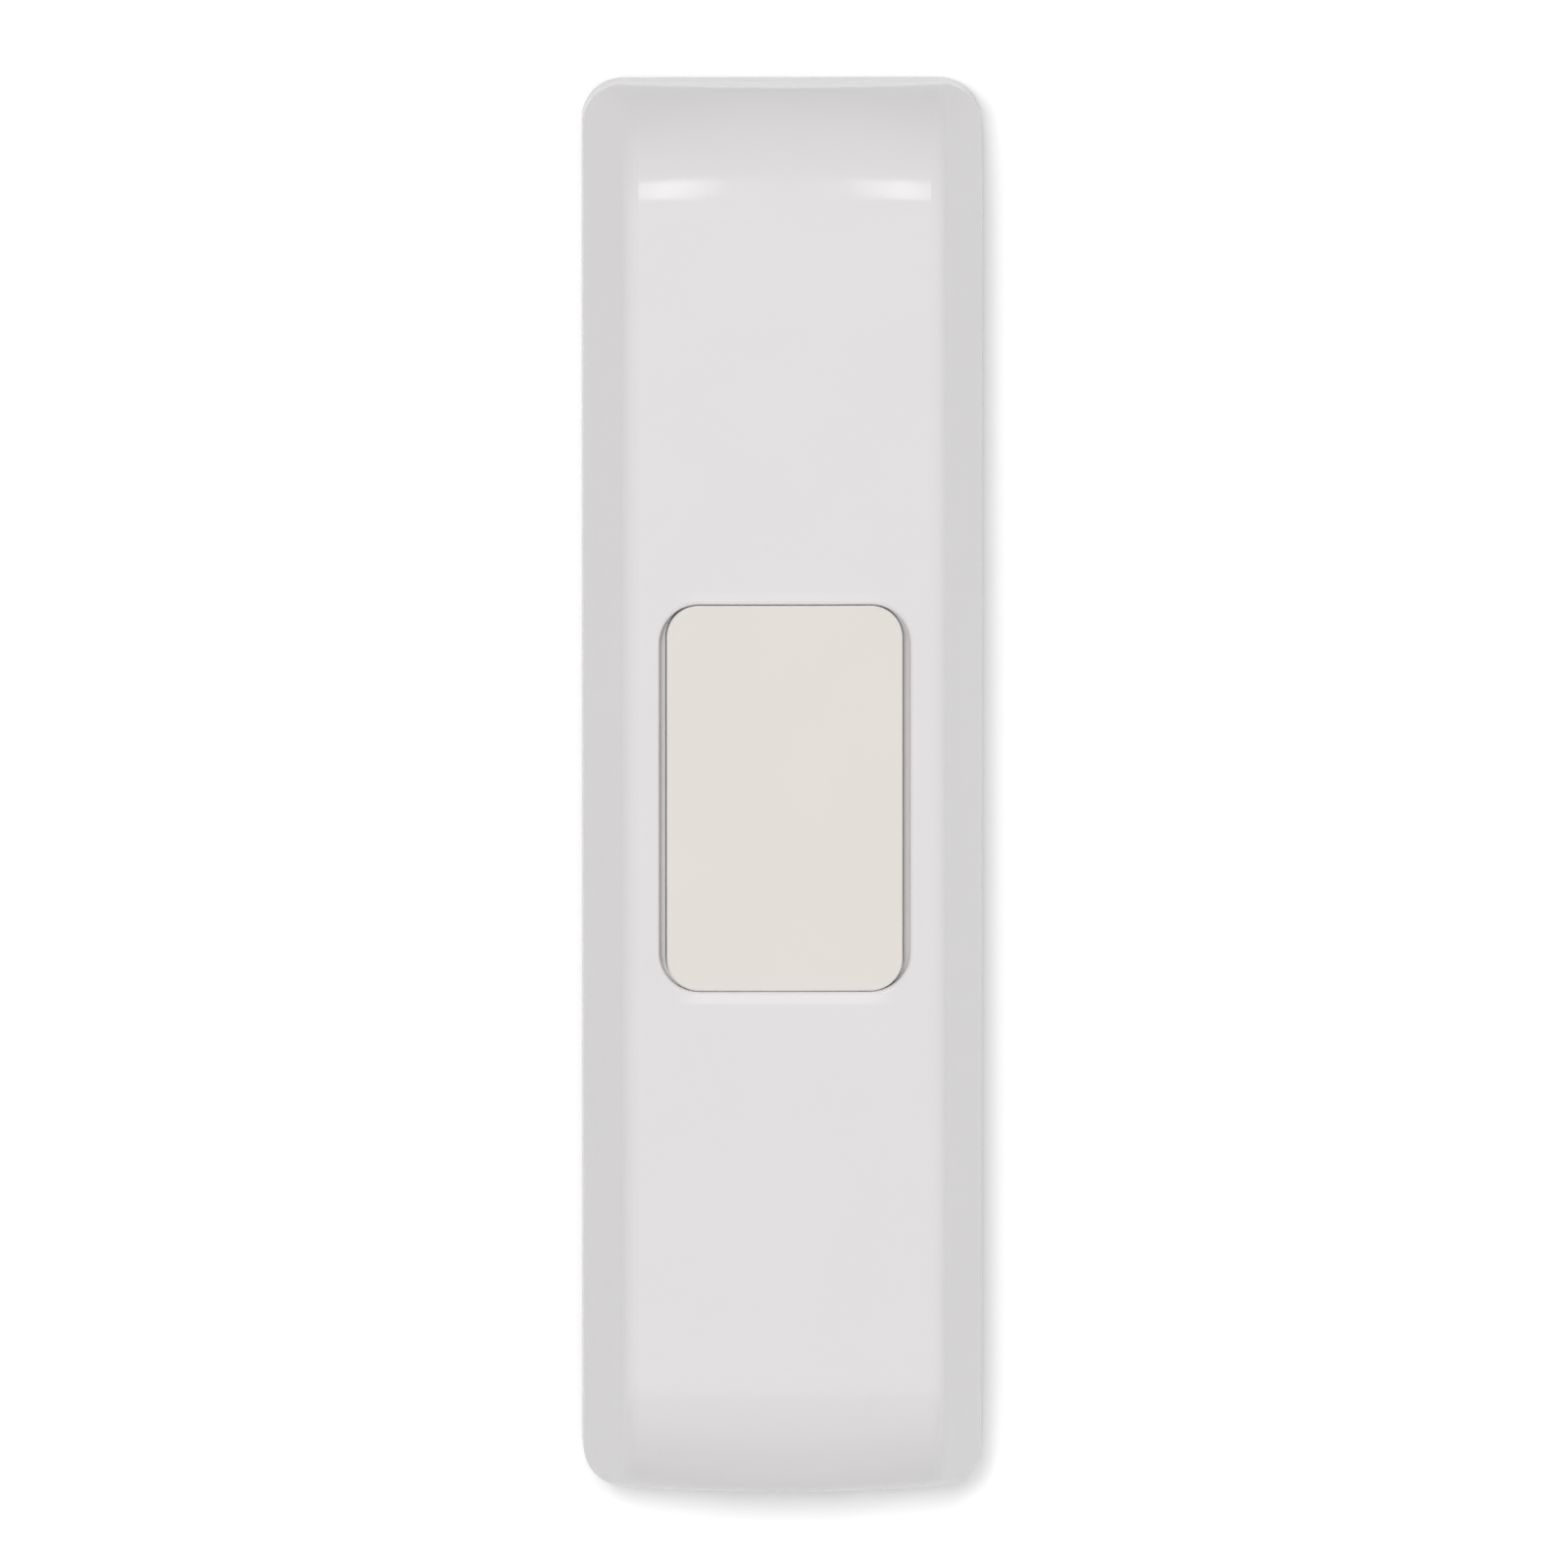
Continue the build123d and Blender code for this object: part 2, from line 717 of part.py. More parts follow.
with BuildPart() as positive_clip:
    holder_top = holder_z + holder_height / 2
    with BuildSketch(at_depth(holder_front)):
        with Locations((0, holder_top + clip_thickness - clip_length / 2)):
            Rectangle(clip_width, clip_length)
        with Locations((0, holder_top + clip_thickness - clip_length + clip_bar_height / 2)):
            Rectangle(clip_bar_width, clip_bar_height)
    extrude(amount=clip_thickness)
    with BuildSketch(at_depth(board_front)):
        with Locations((0, holder_top + clip_thickness / 2)):
            Rectangle(clip_width, clip_thickness)
    extrude(amount=holder_front - board_front + clip_thickness)
write_part(positive_clip, "positive_clip")

# ---- transmitter ----

chip_back = board_front + chip_stand_off
with BuildPart() as transmitter_chip:
    with BuildSketch(at_depth(chip_back)):
        with Locations((chip_x, chip_z)):
            Rectangle(chip_width, chip_height)
    extrude(amount=chip_thickness)
    chamfer(transmitter_chip.edges().group_by(Axis.Y)[0], length=chip_stand_off)
write_part(transmitter_chip, "transmitter_chip")

with BuildPart() as chip_leads:
    shoulder = chip_back + chip_thickness / 2
    for number in range(lead_count):
        lead_z = chip_z + (number - (lead_count - 1) / 2) * lead_pitch
        for side in (-1, 1):
            root = chip_x + side * chip_width / 2
            knee = root + side * lead_reach / 2
            toe = root + side * lead_reach
            with BuildSketch(Plane.XY.offset(lead_z - lead_width / 2)):
                Polygon(
                    (root, -shoulder),
                    (knee, -shoulder),
                    (knee, -board_front - chip_stand_off),
                    (toe, -board_front - chip_stand_off),
                    (toe, -board_front),
                    (knee - side * chip_stand_off, -board_front),
                    (knee - side * chip_stand_off, -shoulder + chip_stand_off),
                    (root, -shoulder + chip_stand_off),
                    align=None,
                )
            extrude(amount=lead_width)
write_part(chip_leads, "chip_leads")

with BuildPart() as crystal:
    with BuildSketch(at_depth(board_front)):
        with Locations((crystal_x, crystal_z)):
            SlotOverall(crystal_height, crystal_width, rotation=90)
    extrude(amount=crystal_thickness)
    fillet(crystal.edges().group_by(Axis.Y)[0], radius=crystal_thickness / 8)
write_part(crystal, "crystal")

coil_axis_depth = board_front + coil_stand_off + coil_wire / 2 + coil_radius
with BuildPart() as antenna_coil:
    with BuildLine() as coil_path:
        Helix(
            pitch=coil_length / coil_turns,
            height=coil_length,
            radius=coil_radius,
            center=(coil_x, -coil_axis_depth, coil_z),
            direction=(0, 0, 1),
        )
    with BuildSketch(Plane(origin=coil_path.line @ 0, z_dir=coil_path.line % 0)):
        Circle(coil_wire / 2)
    sweep(is_frenet=True)
    # Legs from both ends of the wire down to the board
    with BuildSketch(at_depth(board_front)):
        with Locations(
            (coil_x + coil_radius, coil_z),
            (coil_x + coil_radius, coil_z + coil_length),
        ):
            Circle(coil_leg_radius)
    extrude(amount=coil_axis_depth + coil_wire / 2 - board_front)
write_part(antenna_coil, "antenna_coil")

with BuildPart() as supply_capacitor:
    with BuildSketch(at_depth(board_front)):
        with Locations((capacitor_x, capacitor_z)):
            Rectangle(2 * capacitor_radius, 2 * capacitor_radius)
    extrude(amount=capacitor_base)
    with BuildSketch(at_depth(board_front + capacitor_base)):
        with Locations((capacitor_x, capacitor_z)):
            Circle(capacitor_radius)
    extrude(amount=capacitor_height - capacitor_base)
    fillet(supply_capacitor.edges().group_by(Axis.Y)[0], radius=capacitor_radius / 8)
write_part(supply_capacitor, "supply_capacitor")

with BuildPart() as status_led:
    led_dome_depth = board_front + led_straight_height
    with BuildSketch(Plane.XY):
        with BuildLine():
            Polyline(
                (led_x, -board_front),
                (led_x + led_flange_radius, -board_front),
                (led_x + led_flange_radius, -board_front - led_flange_height),
                (led_x + led_radius, -board_front - led_flange_height),
                (led_x + led_radius, -led_dome_depth),
            )
            led_tip = (led_x, -led_dome_depth - led_radius)
            RadiusArc((led_x + led_radius, -led_dome_depth), led_tip, led_radius)
            Line(led_tip, (led_x, -board_front))
        make_face()
    revolve(axis=Axis((led_x, 0, 0), (0, 1, 0)))
write_part(status_led, "status_led")


def smd_bodies(places, thickness):
    """Bodies of small two-ended parts that lie across the board at the given places."""
    with BuildPart() as bodies:
        with BuildSketch(at_depth(board_front)):
            with Locations(*places):
                Rectangle(smd_length - 2 * smd_end, smd_width)
        extrude(amount=thickness)
    return bodies


write_part(smd_bodies(resistor_places, resistor_thickness), "chip_resistors")
write_part(smd_bodies(ceramic_places, ceramic_thickness), "chip_capacitors")

with BuildPart() as smd_terminals:
    for places, thickness in (
        (resistor_places, resistor_thickness),
        (ceramic_places, ceramic_thickness),
    ):
        with BuildSketch(at_depth(board_front)):
            with Locations(*places):
                with GridLocations(smd_length - smd_end, 0, 2, 1):
                    Rectangle(smd_end, smd_width)
        extrude(amount=thickness)
write_part(smd_terminals, "smd_terminals")
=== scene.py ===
import math

import bmesh
import bpy
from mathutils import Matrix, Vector


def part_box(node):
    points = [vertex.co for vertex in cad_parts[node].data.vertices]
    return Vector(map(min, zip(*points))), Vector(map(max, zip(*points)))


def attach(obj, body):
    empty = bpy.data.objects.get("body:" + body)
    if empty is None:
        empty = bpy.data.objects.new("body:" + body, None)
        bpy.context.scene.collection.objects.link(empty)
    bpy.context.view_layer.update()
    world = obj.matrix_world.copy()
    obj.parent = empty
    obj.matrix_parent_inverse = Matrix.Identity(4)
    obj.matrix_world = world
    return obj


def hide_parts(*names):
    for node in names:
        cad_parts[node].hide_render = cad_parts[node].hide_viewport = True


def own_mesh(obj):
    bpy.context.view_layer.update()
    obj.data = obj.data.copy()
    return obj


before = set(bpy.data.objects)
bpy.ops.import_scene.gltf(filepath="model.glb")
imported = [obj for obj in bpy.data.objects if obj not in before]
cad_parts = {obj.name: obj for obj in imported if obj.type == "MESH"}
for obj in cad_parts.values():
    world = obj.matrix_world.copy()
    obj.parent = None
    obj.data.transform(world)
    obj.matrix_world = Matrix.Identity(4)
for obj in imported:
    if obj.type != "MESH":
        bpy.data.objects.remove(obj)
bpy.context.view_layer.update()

# Slim white wireless doorbell button on a white wall. Metres, in the part's own frame:
# the wall is the plane y = 0, the front faces -Y and Z runs up. Shapes are written in
# millimetres, as x, z and depth in front of the wall.

MM = 0.001


# ---- node helpers ----

def new_material(name, color, roughness, metallic=0.0):
    """A Principled material. Returns it with its node tree and its shader."""
    material = bpy.data.materials.new(name)
    material.use_nodes = True
    shader = material.node_tree.nodes["Principled BSDF"]
    shader.inputs["Base Color"].default_value = (*color, 1)
    shader.inputs["Roughness"].default_value = roughness
    shader.inputs["Metallic"].default_value = metallic
    return material, material.node_tree, shader


def feed(tree, value, socket):
    """Sets a socket to a number or a colour, or links another socket to it."""
    if isinstance(value, bpy.types.NodeSocket):
        tree.links.new(value, socket)
    else:
        socket.default_value = value


def node(tree, kind, settings=None, **inputs):
    """Adds a node. settings are its properties, and inputs are fed to the sockets so named."""
    made = tree.nodes.new(kind)
    for key, value in (settings or {}).items():
        setattr(made, key, value)
    for key, value in inputs.items():
        feed(tree, value, made.inputs[key.replace("_", " ")])
    return made


def calculate(tree, operation, first, second=0.0):
    made = tree.nodes.new("ShaderNodeMath")
    made.operation = operation
    feed(tree, first, made.inputs[0])
    feed(tree, second, made.inputs[1])
    return made.outputs["Value"]


def vector(tree, operation, first, second):
    made = tree.nodes.new("ShaderNodeVectorMath")
    made.operation = operation
    feed(tree, first, made.inputs[0])
    feed(tree, second, made.inputs[1])
    return made.outputs["Value" if operation == "LENGTH" else "Vector"]


def millimetres(tree):
    """The piece's own coordinates in millimetres."""
    place = tree.nodes.new("ShaderNodeTexCoord").outputs["Object"]
    return vector(tree, "DIVIDE", place, (MM, MM, MM))


def depth(tree):
    """Depth in front of the wall, in millimetres."""
    parts = node(tree, "ShaderNodeSeparateXYZ", Vector=millimetres(tree))
    return calculate(tree, "MULTIPLY", parts.outputs["Y"], -1.0)


def from_axis(tree, x, z):
    """Distance, in millimetres, from the line through x and z that runs out of the wall."""
    offset = vector(tree, "SUBTRACT", millimetres(tree), (x, 0, z))
    return vector(tree, "LENGTH", vector(tree, "MULTIPLY", offset, (1, 0, 1)), (0, 0, 0))


def facing(tree, axis):
    """How far the surface faces along X, Y or Z of the part, from -1 to 1."""
    normal = tree.nodes.new("ShaderNodeTexCoord").outputs["Normal"]
    return node(tree, "ShaderNodeSeparateXYZ", Vector=normal).outputs[axis]


def noise(tree, size, detail=3.0, roughness=0.5):
    """Noise from 0 to 1. size is that of its lumps in millimetres, or their x, y and z sizes."""
    sizes = size if isinstance(size, tuple) else (size, size, size)
    return node(
        tree, "ShaderNodeTexNoise", Vector=vector(tree, "DIVIDE", millimetres(tree), sizes),
        Scale=1.0, Detail=detail, Roughness=roughness,
    ).outputs["Fac"]


def cells(tree, size):
    """Distance from the middle of round cells of about size millimetres, from 0 to 1."""
    place = vector(tree, "DIVIDE", millimetres(tree), (size, size, size))
    return node(tree, "ShaderNodeTexVoronoi", Vector=place, Scale=1.0).outputs["Distance"]


def fine_rings(tree, x, z, width):
    """Turned rings of about width millimetres round the line through x and z."""
    radius = calculate(tree, "DIVIDE", from_axis(tree, x, z), width)
    rings = node(tree, "ShaderNodeCombineXYZ", X=radius)
    return node(
        tree, "ShaderNodeTexNoise", Vector=rings.outputs["Vector"], Scale=1.0, Detail=3.0,
    ).outputs["Fac"]


def spread(tree, value, low, high, start=0.3, end=0.7):
    """Maps start to end, by default the usual reach of noise, to low and high."""
    mapped = node(tree, "ShaderNodeMapRange", Value=value)
    mapped.inputs["From Min"].default_value = start
    mapped.inputs["From Max"].default_value = end
    mapped.inputs["To Min"].default_value = low
    mapped.inputs["To Max"].default_value = high
    return mapped.outputs["Result"]


def past(tree, value, edge, softness):
    """0 where value is less than edge and 1 where it is more."""
    return spread(tree, value, 0.0, 1.0, edge - softness / 2, edge + softness / 2)


def between(tree, value, low, high, softness):
    """1 where value lies from low to high, and 0 elsewhere."""
    beyond = calculate(tree, "SUBTRACT", 1.0, past(tree, value, high, softness))
    return calculate(tree, "MULTIPLY", past(tree, value, low, softness), beyond)


# Sockets of the Mix node. They share their names with its other kinds of value.
MIX_FIRST_COLOR = 6
MIX_SECOND_COLOR = 7
MIX_COLOR = 2                   # the output


def opaque(color):
    return color if isinstance(color, bpy.types.NodeSocket) else (*color, 1)


def mixed(tree, factor, first, second):
    """A colour that goes from first, at a factor of 0, to second."""
    made = node(tree, "ShaderNodeMix", {"data_type": "RGBA"}, Factor=factor)
    feed(tree, opaque(first), made.inputs[MIX_FIRST_COLOR])
    feed(tree, opaque(second), made.inputs[MIX_SECOND_COLOR])
    return made.outputs[MIX_COLOR]


def tint(tree, value, first, second):
    """A colour between first and second, by noise."""
    return mixed(tree, spread(tree, value, 0.0, 1.0), first, second)


def relief(tree, shader, height, depth_mm):
    """Bump of the given depth in millimetres."""
    bump = node(tree, "ShaderNodeBump", Height=height, Distance=depth_mm * MM)
    feed(tree, bump.outputs["Normal"], shader.inputs["Normal"])


def shade(color, factor):
    return tuple(channel * factor for channel in color)


# ---- materials ----

def plastic(name, color, roughness, grain_mm, grain_depth_mm, variation=0.015):
    """Moulded plastic: a fine grain, faint cloudiness and slightly uneven gloss."""
    material, tree, shader = new_material(name, color, roughness)
    cloudy = tint(tree, noise(tree, 9.0), shade(color, 1 - variation), shade(color, 1 + variation))
    uneven = spread(tree, noise(tree, 2.5), roughness * 0.88, roughness * 1.12)
    feed(tree, cloudy, shader.inputs["Base Color"])
    feed(tree, uneven, shader.inputs["Roughness"])
    relief(tree, shader, noise(tree, grain_mm, 2.0), grain_depth_mm)
    return material


# Painted highlight: a line of light painted along the opening's upper and lower lips. Distances are in
# millimetres.
LIP_START = 0.2                 # from the button's end to the line
LIP_END = 0.95
LIP_SOFTNESS = 0.3
LIP_FADE = 2.0                  # over which the line fades at its two ends
LIP_HIGHLIGHT_GAIN = 1.09
UPPER_LIP_HIGHLIGHT_SHARE = 0.4
LIP_DEPTH_SOFTNESS = 0.1


def glossy_housing(name, color, button_half_height, lip_half_width, front):
    """Smooth glossy plastic, with a painted highlight: the opening's upper and lower lips are painted
    a little brighter.
    """
    material = plastic(name, color, 0.15, 1.4, 0.0003, 0.006)
    tree = material.node_tree
    surface = tree.nodes["Principled BSDF"].inputs["Base Color"]
    place = node(tree, "ShaderNodeSeparateXYZ", Vector=millimetres(tree)).outputs
    start = button_half_height + LIP_START
    end = button_half_height + LIP_END
    above = between(tree, place["Z"], start, end, LIP_SOFTNESS)
    below = between(tree, calculate(tree, "MULTIPLY", place["Z"], -1.0), start, end, LIP_SOFTNESS)
    lips = calculate(tree, "ADD", below, calculate(tree, "MULTIPLY", above, UPPER_LIP_HIGHLIGHT_SHARE))
    aside = calculate(tree, "ABSOLUTE", place["X"])
    level = calculate(tree, "SUBTRACT", 1.0, past(tree, aside, lip_half_width, LIP_FADE))
    on_front = past(tree, depth(tree), front, LIP_DEPTH_SOFTNESS)
    share = calculate(tree, "MULTIPLY", calculate(tree, "MULTIPLY", lips, level), on_front)
    # painted highlight: the lips take a brighter copy of the housing's colour
    feed(tree, mixed(tree, share, surface.links[0].from_socket, shade(color, LIP_HIGHLIGHT_GAIN)), surface)
    return material


# Painted light that lifts the shade on the gap's walls round the button, measured from the button's
# outline
GAP_INSIDE = 0.05               # over the button's edge
GAP_OUTSIDE = 0.15              # over the opening's rim
GROOVE_OUTSIDE = 0.6            # past the groove's outer wall
GAP_SOFTNESS = 0.08
GAP_CORNER_START = 0.35         # shares of the corner's radius, from the corner's foot
GAP_CORNER_SOFTNESS = 0.5
# painted light: a near-white colour that lifts the shade in the gap
GAP_PAINTED_LIGHT = (0.97, 0.955, 0.94)


def paint_gap_light_ends(material, half_width, half_height, corner_radius, groove_top):
    """Paints light into the gap across the button's ends and round its corners, lifting its shade."""
    tree = material.node_tree
    surface = tree.nodes["Principled BSDF"].inputs["Base Color"]
    straight = (half_width - corner_radius, 0, half_height - corner_radius)
    aside = vector(tree, "ABSOLUTE", millimetres(tree), (0, 0, 0))
    offset = vector(tree, "SUBTRACT", aside, straight)
    beyond = vector(tree, "MULTIPLY", vector(tree, "MAXIMUM", offset, (0, 0, 0)), (1, 0, 1))
    reach = vector(tree, "LENGTH", beyond, (0, 0, 0))
    start = corner_radius - GAP_INSIDE
    rims = between(tree, reach, start, corner_radius + GAP_OUTSIDE, GAP_SOFTNESS)
    walls = between(tree, reach, start, corner_radius + GROOVE_OUTSIDE, GAP_SOFTNESS)
    sunk = calculate(tree, "SUBTRACT", 1.0, past(tree, depth(tree), groove_top, GAP_SOFTNESS))
    in_gap = calculate(tree, "MAXIMUM", rims, calculate(tree, "MULTIPLY", walls, sunk))
    upright = node(tree, "ShaderNodeSeparateXYZ", Vector=beyond).outputs["Z"]
    at_end = past(tree, upright, corner_radius * GAP_CORNER_START,
                  corner_radius * GAP_CORNER_SOFTNESS)
    share = calculate(tree, "MULTIPLY", in_gap, at_end)
    # painted light: the gap's walls take the near-white colour, which lifts their shade
    feed(tree, mixed(tree, share, surface.links[0].from_socket, GAP_PAINTED_LIGHT), surface)


def metal(name, color, roughness, lay, lay_depth_mm=0.002):
    """Plated metal with drawing or brushing marks. lay gives their x, y and z sizes."""
    material, tree, shader = new_material(name, color, roughness, 1.0)
    marks = noise(tree, lay, 4.0, 0.6)
    dull = tint(tree, noise(tree, 1.6), shade(color, 0.93), color)
    feed(tree, mixed(tree, spread(tree, marks, 0.0, 0.25), dull, shade(color, 0.8)),
         shader.inputs["Base Color"])
    feed(tree, spread(tree, marks, roughness * 0.8, roughness * 1.25), shader.inputs["Roughness"])
    relief(tree, shader, marks, lay_depth_mm)
    return material


def silicone_rubber():
    """Soft matt rubber with a little dust and a faint sheen."""
    color = (0.5, 0.5, 0.49)
    material, tree, shader = new_material("silicone", color, 0.6)
    dust = past(tree, noise(tree, 0.35, 4.0, 0.7), 0.62, 0.06)
    cloudy = tint(tree, noise(tree, 4.0), shade(color, 0.95), color)
    feed(tree, mixed(tree, dust, cloudy, (0.62, 0.61, 0.59)), shader.inputs["Base Color"])
    feed(tree, spread(tree, noise(tree, 1.2), 0.52, 0.68), shader.inputs["Roughness"])
    shader.inputs["Sheen Weight"].default_value = 0.25
    relief(tree, shader, noise(tree, 0.12), 0.004)
    return material


def foam():
    """Closed-cell foam: fine round cells and darker pores."""
    color = (0.2, 0.2, 0.2)
    material, tree, shader = new_material("foam_tape", color, 0.85)
    bubbles = cells(tree, 0.28)
    outward = spread(tree, bubbles, 0.0, 1.0, 0.15, 0.6)
    walls = mixed(tree, outward, shade(color, 0.7), shade(color, 1.2))
    feed(tree, mixed(tree, spread(tree, noise(tree, 3.0), 0.0, 0.3), walls, color),
         shader.inputs["Base Color"])
    feed(tree, spread(tree, bubbles, 0.95, 0.75, 0.0, 0.6), shader.inputs["Roughness"])
    relief(tree, shader, bubbles, 0.05)
    return material


MASK_GREEN = (0.025, 0.19, 0.075)
COPPER_GREEN = (0.07, 0.34, 0.13)     # solder mask where copper lies beneath it
GLASS_TAN = (0.42, 0.38, 0.2)
WEAVE_PITCH = 0.55                    # of the glass cloth in the board
WAVE_RATE = 20                        # radians per millimetre of a wave texture of scale 1


def solder_mask(name, color, edge_color):
    """Glossy lacquer over woven glass. The cut edges show the laminate."""
    material, tree, shader = new_material(name, color, 0.3)
    cloth = []
    for across in ("X", "Z"):
        wave = node(
            tree, "ShaderNodeTexWave",
            {"wave_type": "BANDS", "bands_direction": across, "wave_profile": "SIN"},
            Vector=millimetres(tree), Distortion=0.3,
        )
        wave.inputs["Scale"].default_value = math.tau / WAVE_RATE / WEAVE_PITCH
        cloth.append(wave.outputs["Fac"])
    weave = calculate(tree, "MULTIPLY", *cloth)
    lacquer = tint(tree, noise(tree, 6.0), shade(color, 0.92), shade(color, 1.08))
    woven = mixed(tree, spread(tree, weave, 0.0, 0.35, 0.0, 1.0), lacquer, shade(color, 1.35))
    cut = calculate(tree, "LESS_THAN", calculate(tree, "ABSOLUTE", facing(tree, "Y")), 0.5)
    laminate = tint(tree, noise(tree, (3.0, 0.12, 3.0)), shade(edge_color, 0.7), edge_color)
    feed(tree, mixed(tree, cut, woven, laminate), shader.inputs["Base Color"])
    feed(tree, spread(tree, noise(tree, 1.5), 0.24, 0.36), shader.inputs["Roughness"])
    shader.inputs["Coat Weight"].default_value = 0.4
    shader.inputs["Coat Roughness"].default_value = 0.12
    relief(tree, shader, weave, 0.004)
    return material


def cell_steel(centre_x, centre_z):
    """Stainless steel, turned in fine rings round the cell's middle, with a few handling marks."""
    color = (0.6, 0.6, 0.6)
    material, tree, shader = new_material("cell_steel", color, 0.28, 1.0)
    rings = fine_rings(tree, centre_x, centre_z, 0.09)
    scuffs = past(tree, noise(tree, (4.0, 4.0, 0.25), 4.0, 0.7), 0.66, 0.08)
    turned = tint(tree, rings, shade(color, 0.9), color)
    feed(tree, mixed(tree, calculate(tree, "MULTIPLY", scuffs, 0.4), turned, shade(color, 1.15)),
         shader.inputs["Base Color"])
    feed(tree, spread(tree, rings, 0.24, 0.33), shader.inputs["Roughness"])
    relief(tree, shader, rings, 0.0012)
    return material


def etched_steel():
    """Steel darkened by a marking laser: matt, with a fine mottle."""
    color = (0.2, 0.2, 0.205)
    material, tree, shader = new_material("etched_steel", color, 0.5, 1.0)
    mottle = noise(tree, 0.08, 3.0, 0.7)
    feed(tree, tint(tree, mottle, shade(color, 0.7), shade(color, 1.3)), shader.inputs["Base Color"])
    feed(tree, spread(tree, mottle, 0.42, 0.58), shader.inputs["Roughness"])
    relief(tree, shader, mottle, 0.003)
    return material


DIMPLE_RADIUS = 0.4             # beside the chip's first pin
DIMPLE_INSET = 0.9              # from the chip's two sides


def epoxy_black(pin_x, pin_z):
    """Moulded black epoxy with a fine speckle, and a smooth round dimple at the first pin."""
    color = (0.018, 0.018, 0.02)
    material, tree, shader = new_material("chip_black", color, 0.55)
    from_pin = from_axis(tree, pin_x, pin_z)
    dimple = calculate(tree, "LESS_THAN", from_pin, DIMPLE_RADIUS)
    speckle = noise(tree, 0.09, 3.0, 0.7)
    body = tint(tree, speckle, color, shade(color, 2.2))
    feed(tree, mixed(tree, dimple, body, shade(color, 0.5)), shader.inputs["Base Color"])
    gloss = spread(tree, noise(tree, 0.6), 0.5, 0.62)
    feed(tree, calculate(tree, "SUBTRACT", gloss, calculate(tree, "MULTIPLY", dimple, 0.3)),
         shader.inputs["Roughness"])
    sunk = calculate(tree, "MULTIPLY", past(tree, from_pin, DIMPLE_RADIUS, 0.12), 8.0)
    relief(tree, shader, calculate(tree, "ADD", speckle, sunk), 0.004)
    return material


TINNED_HEIGHT = 0.9             # of the coil's ends, in front of the board


def enamelled_copper(tinned_depth):
    """Copper wire under clear enamel. Its ends are tinned up to the given depth."""
    color = (0.76, 0.33, 0.13)
    material, tree, shader = new_material("copper_wire", color, 0.28, 1.0)
    drawn = noise(tree, (0.6, 0.08, 0.08), 3.0)
    enamel = tint(tree, drawn, shade(color, 0.78), color)
    bare = past(tree, depth(tree), tinned_depth, 0.15)
    feed(tree, mixed(tree, bare, (0.68, 0.68, 0.66), enamel), shader.inputs["Base Color"])
    feed(tree, spread(tree, drawn, 0.22, 0.36), shader.inputs["Roughness"])
    shader.inputs["Coat Weight"].default_value = 0.8
    shader.inputs["Coat Roughness"].default_value = 0.08
    relief(tree, shader, drawn, 0.002)
    return material


def capacitor_sleeve(centre_x, centre_z, base_depth, top_depth):
    """Bare aluminium can on a black base. A black mark shows the negative side of its top."""
    can = (0.76, 0.76, 0.77)
    black = (0.02, 0.02, 0.022)
    material, tree, shader = new_material("capacitor_can", can, 0.3, 1.0)
    drawn = noise(tree, (0.05, 1.5, 0.05), 3.0)
    rings = fine_rings(tree, centre_x, centre_z, 0.12)
    along = node(tree, "ShaderNodeSeparateXYZ", Vector=millimetres(tree)).outputs["X"]
    on_top = past(tree, depth(tree), top_depth - 0.05, 0.02)
    negative = calculate(tree, "MULTIPLY", on_top, calculate(tree, "LESS_THAN", along, centre_x - 0.6))
    in_base = calculate(tree, "LESS_THAN", depth(tree), base_depth)
    dark = calculate(tree, "MAXIMUM", negative, in_base)
    metal_face = tint(tree, calculate(tree, "MULTIPLY", calculate(tree, "ADD", drawn, rings), 0.5),
                      shade(can, 0.8), can)
    feed(tree, mixed(tree, dark, metal_face, black), shader.inputs["Base Color"])
    feed(tree, calculate(tree, "SUBTRACT", 1.0, dark), shader.inputs["Metallic"])
    gloss = spread(tree, drawn, 0.24, 0.38)
    feed(tree, calculate(tree, "ADD", gloss, calculate(tree, "MULTIPLY", dark, 0.15)),
         shader.inputs["Roughness"])
    relief(tree, shader, drawn, 0.002)
    return material


def tinted_lens():
    """Clear red epoxy with faint flow marks, through which the lead frame shows."""
    color = (0.9, 0.2, 0.15)
    material, tree, shader = new_material("led_lens", color, 0.06)
    flow = noise(tree, (0.8, 2.5, 0.8), 2.0)
    feed(tree, tint(tree, flow, shade(color, 0.94), color), shader.inputs["Base Color"])
    feed(tree, spread(tree, flow, 0.03, 0.08), shader.inputs["Roughness"])
    shader.inputs["Transmission Weight"].default_value = 0.92
    shader.inputs["IOR"].default_value = 1.52
    relief(tree, shader, flow, 0.0006)
    return material


def ceramic():
    """Fired ceramic: a fine dark and pale speckle."""
    color = (0.47, 0.33, 0.2)
    material, tree, shader = new_material("ceramic_tan", color, 0.5)
    speckle = noise(tree, 0.06, 4.0, 0.75)
    feed(tree, tint(tree, speckle, shade(color, 0.7), shade(color, 1.15)), shader.inputs["Base Color"])
    feed(tree, spread(tree, noise(tree, 0.3), 0.42, 0.58), shader.inputs["Roughness"])
    relief(tree, shader, speckle, 0.003)
    return material


def solder():
    """Reflowed solder: bright, with slow ripples."""
    color = (0.74, 0.74, 0.73)
    material, tree, shader = new_material("solder", color, 0.2, 1.0)
    ripples = noise(tree, 0.25, 2.0)
    feed(tree, tint(tree, ripples, shade(color, 0.85), color), shader.inputs["Base Color"])
    feed(tree, spread(tree, noise(tree, 0.12), 0.14, 0.3), shader.inputs["Roughness"])
    relief(tree, shader, ripples, 0.012)
    return material


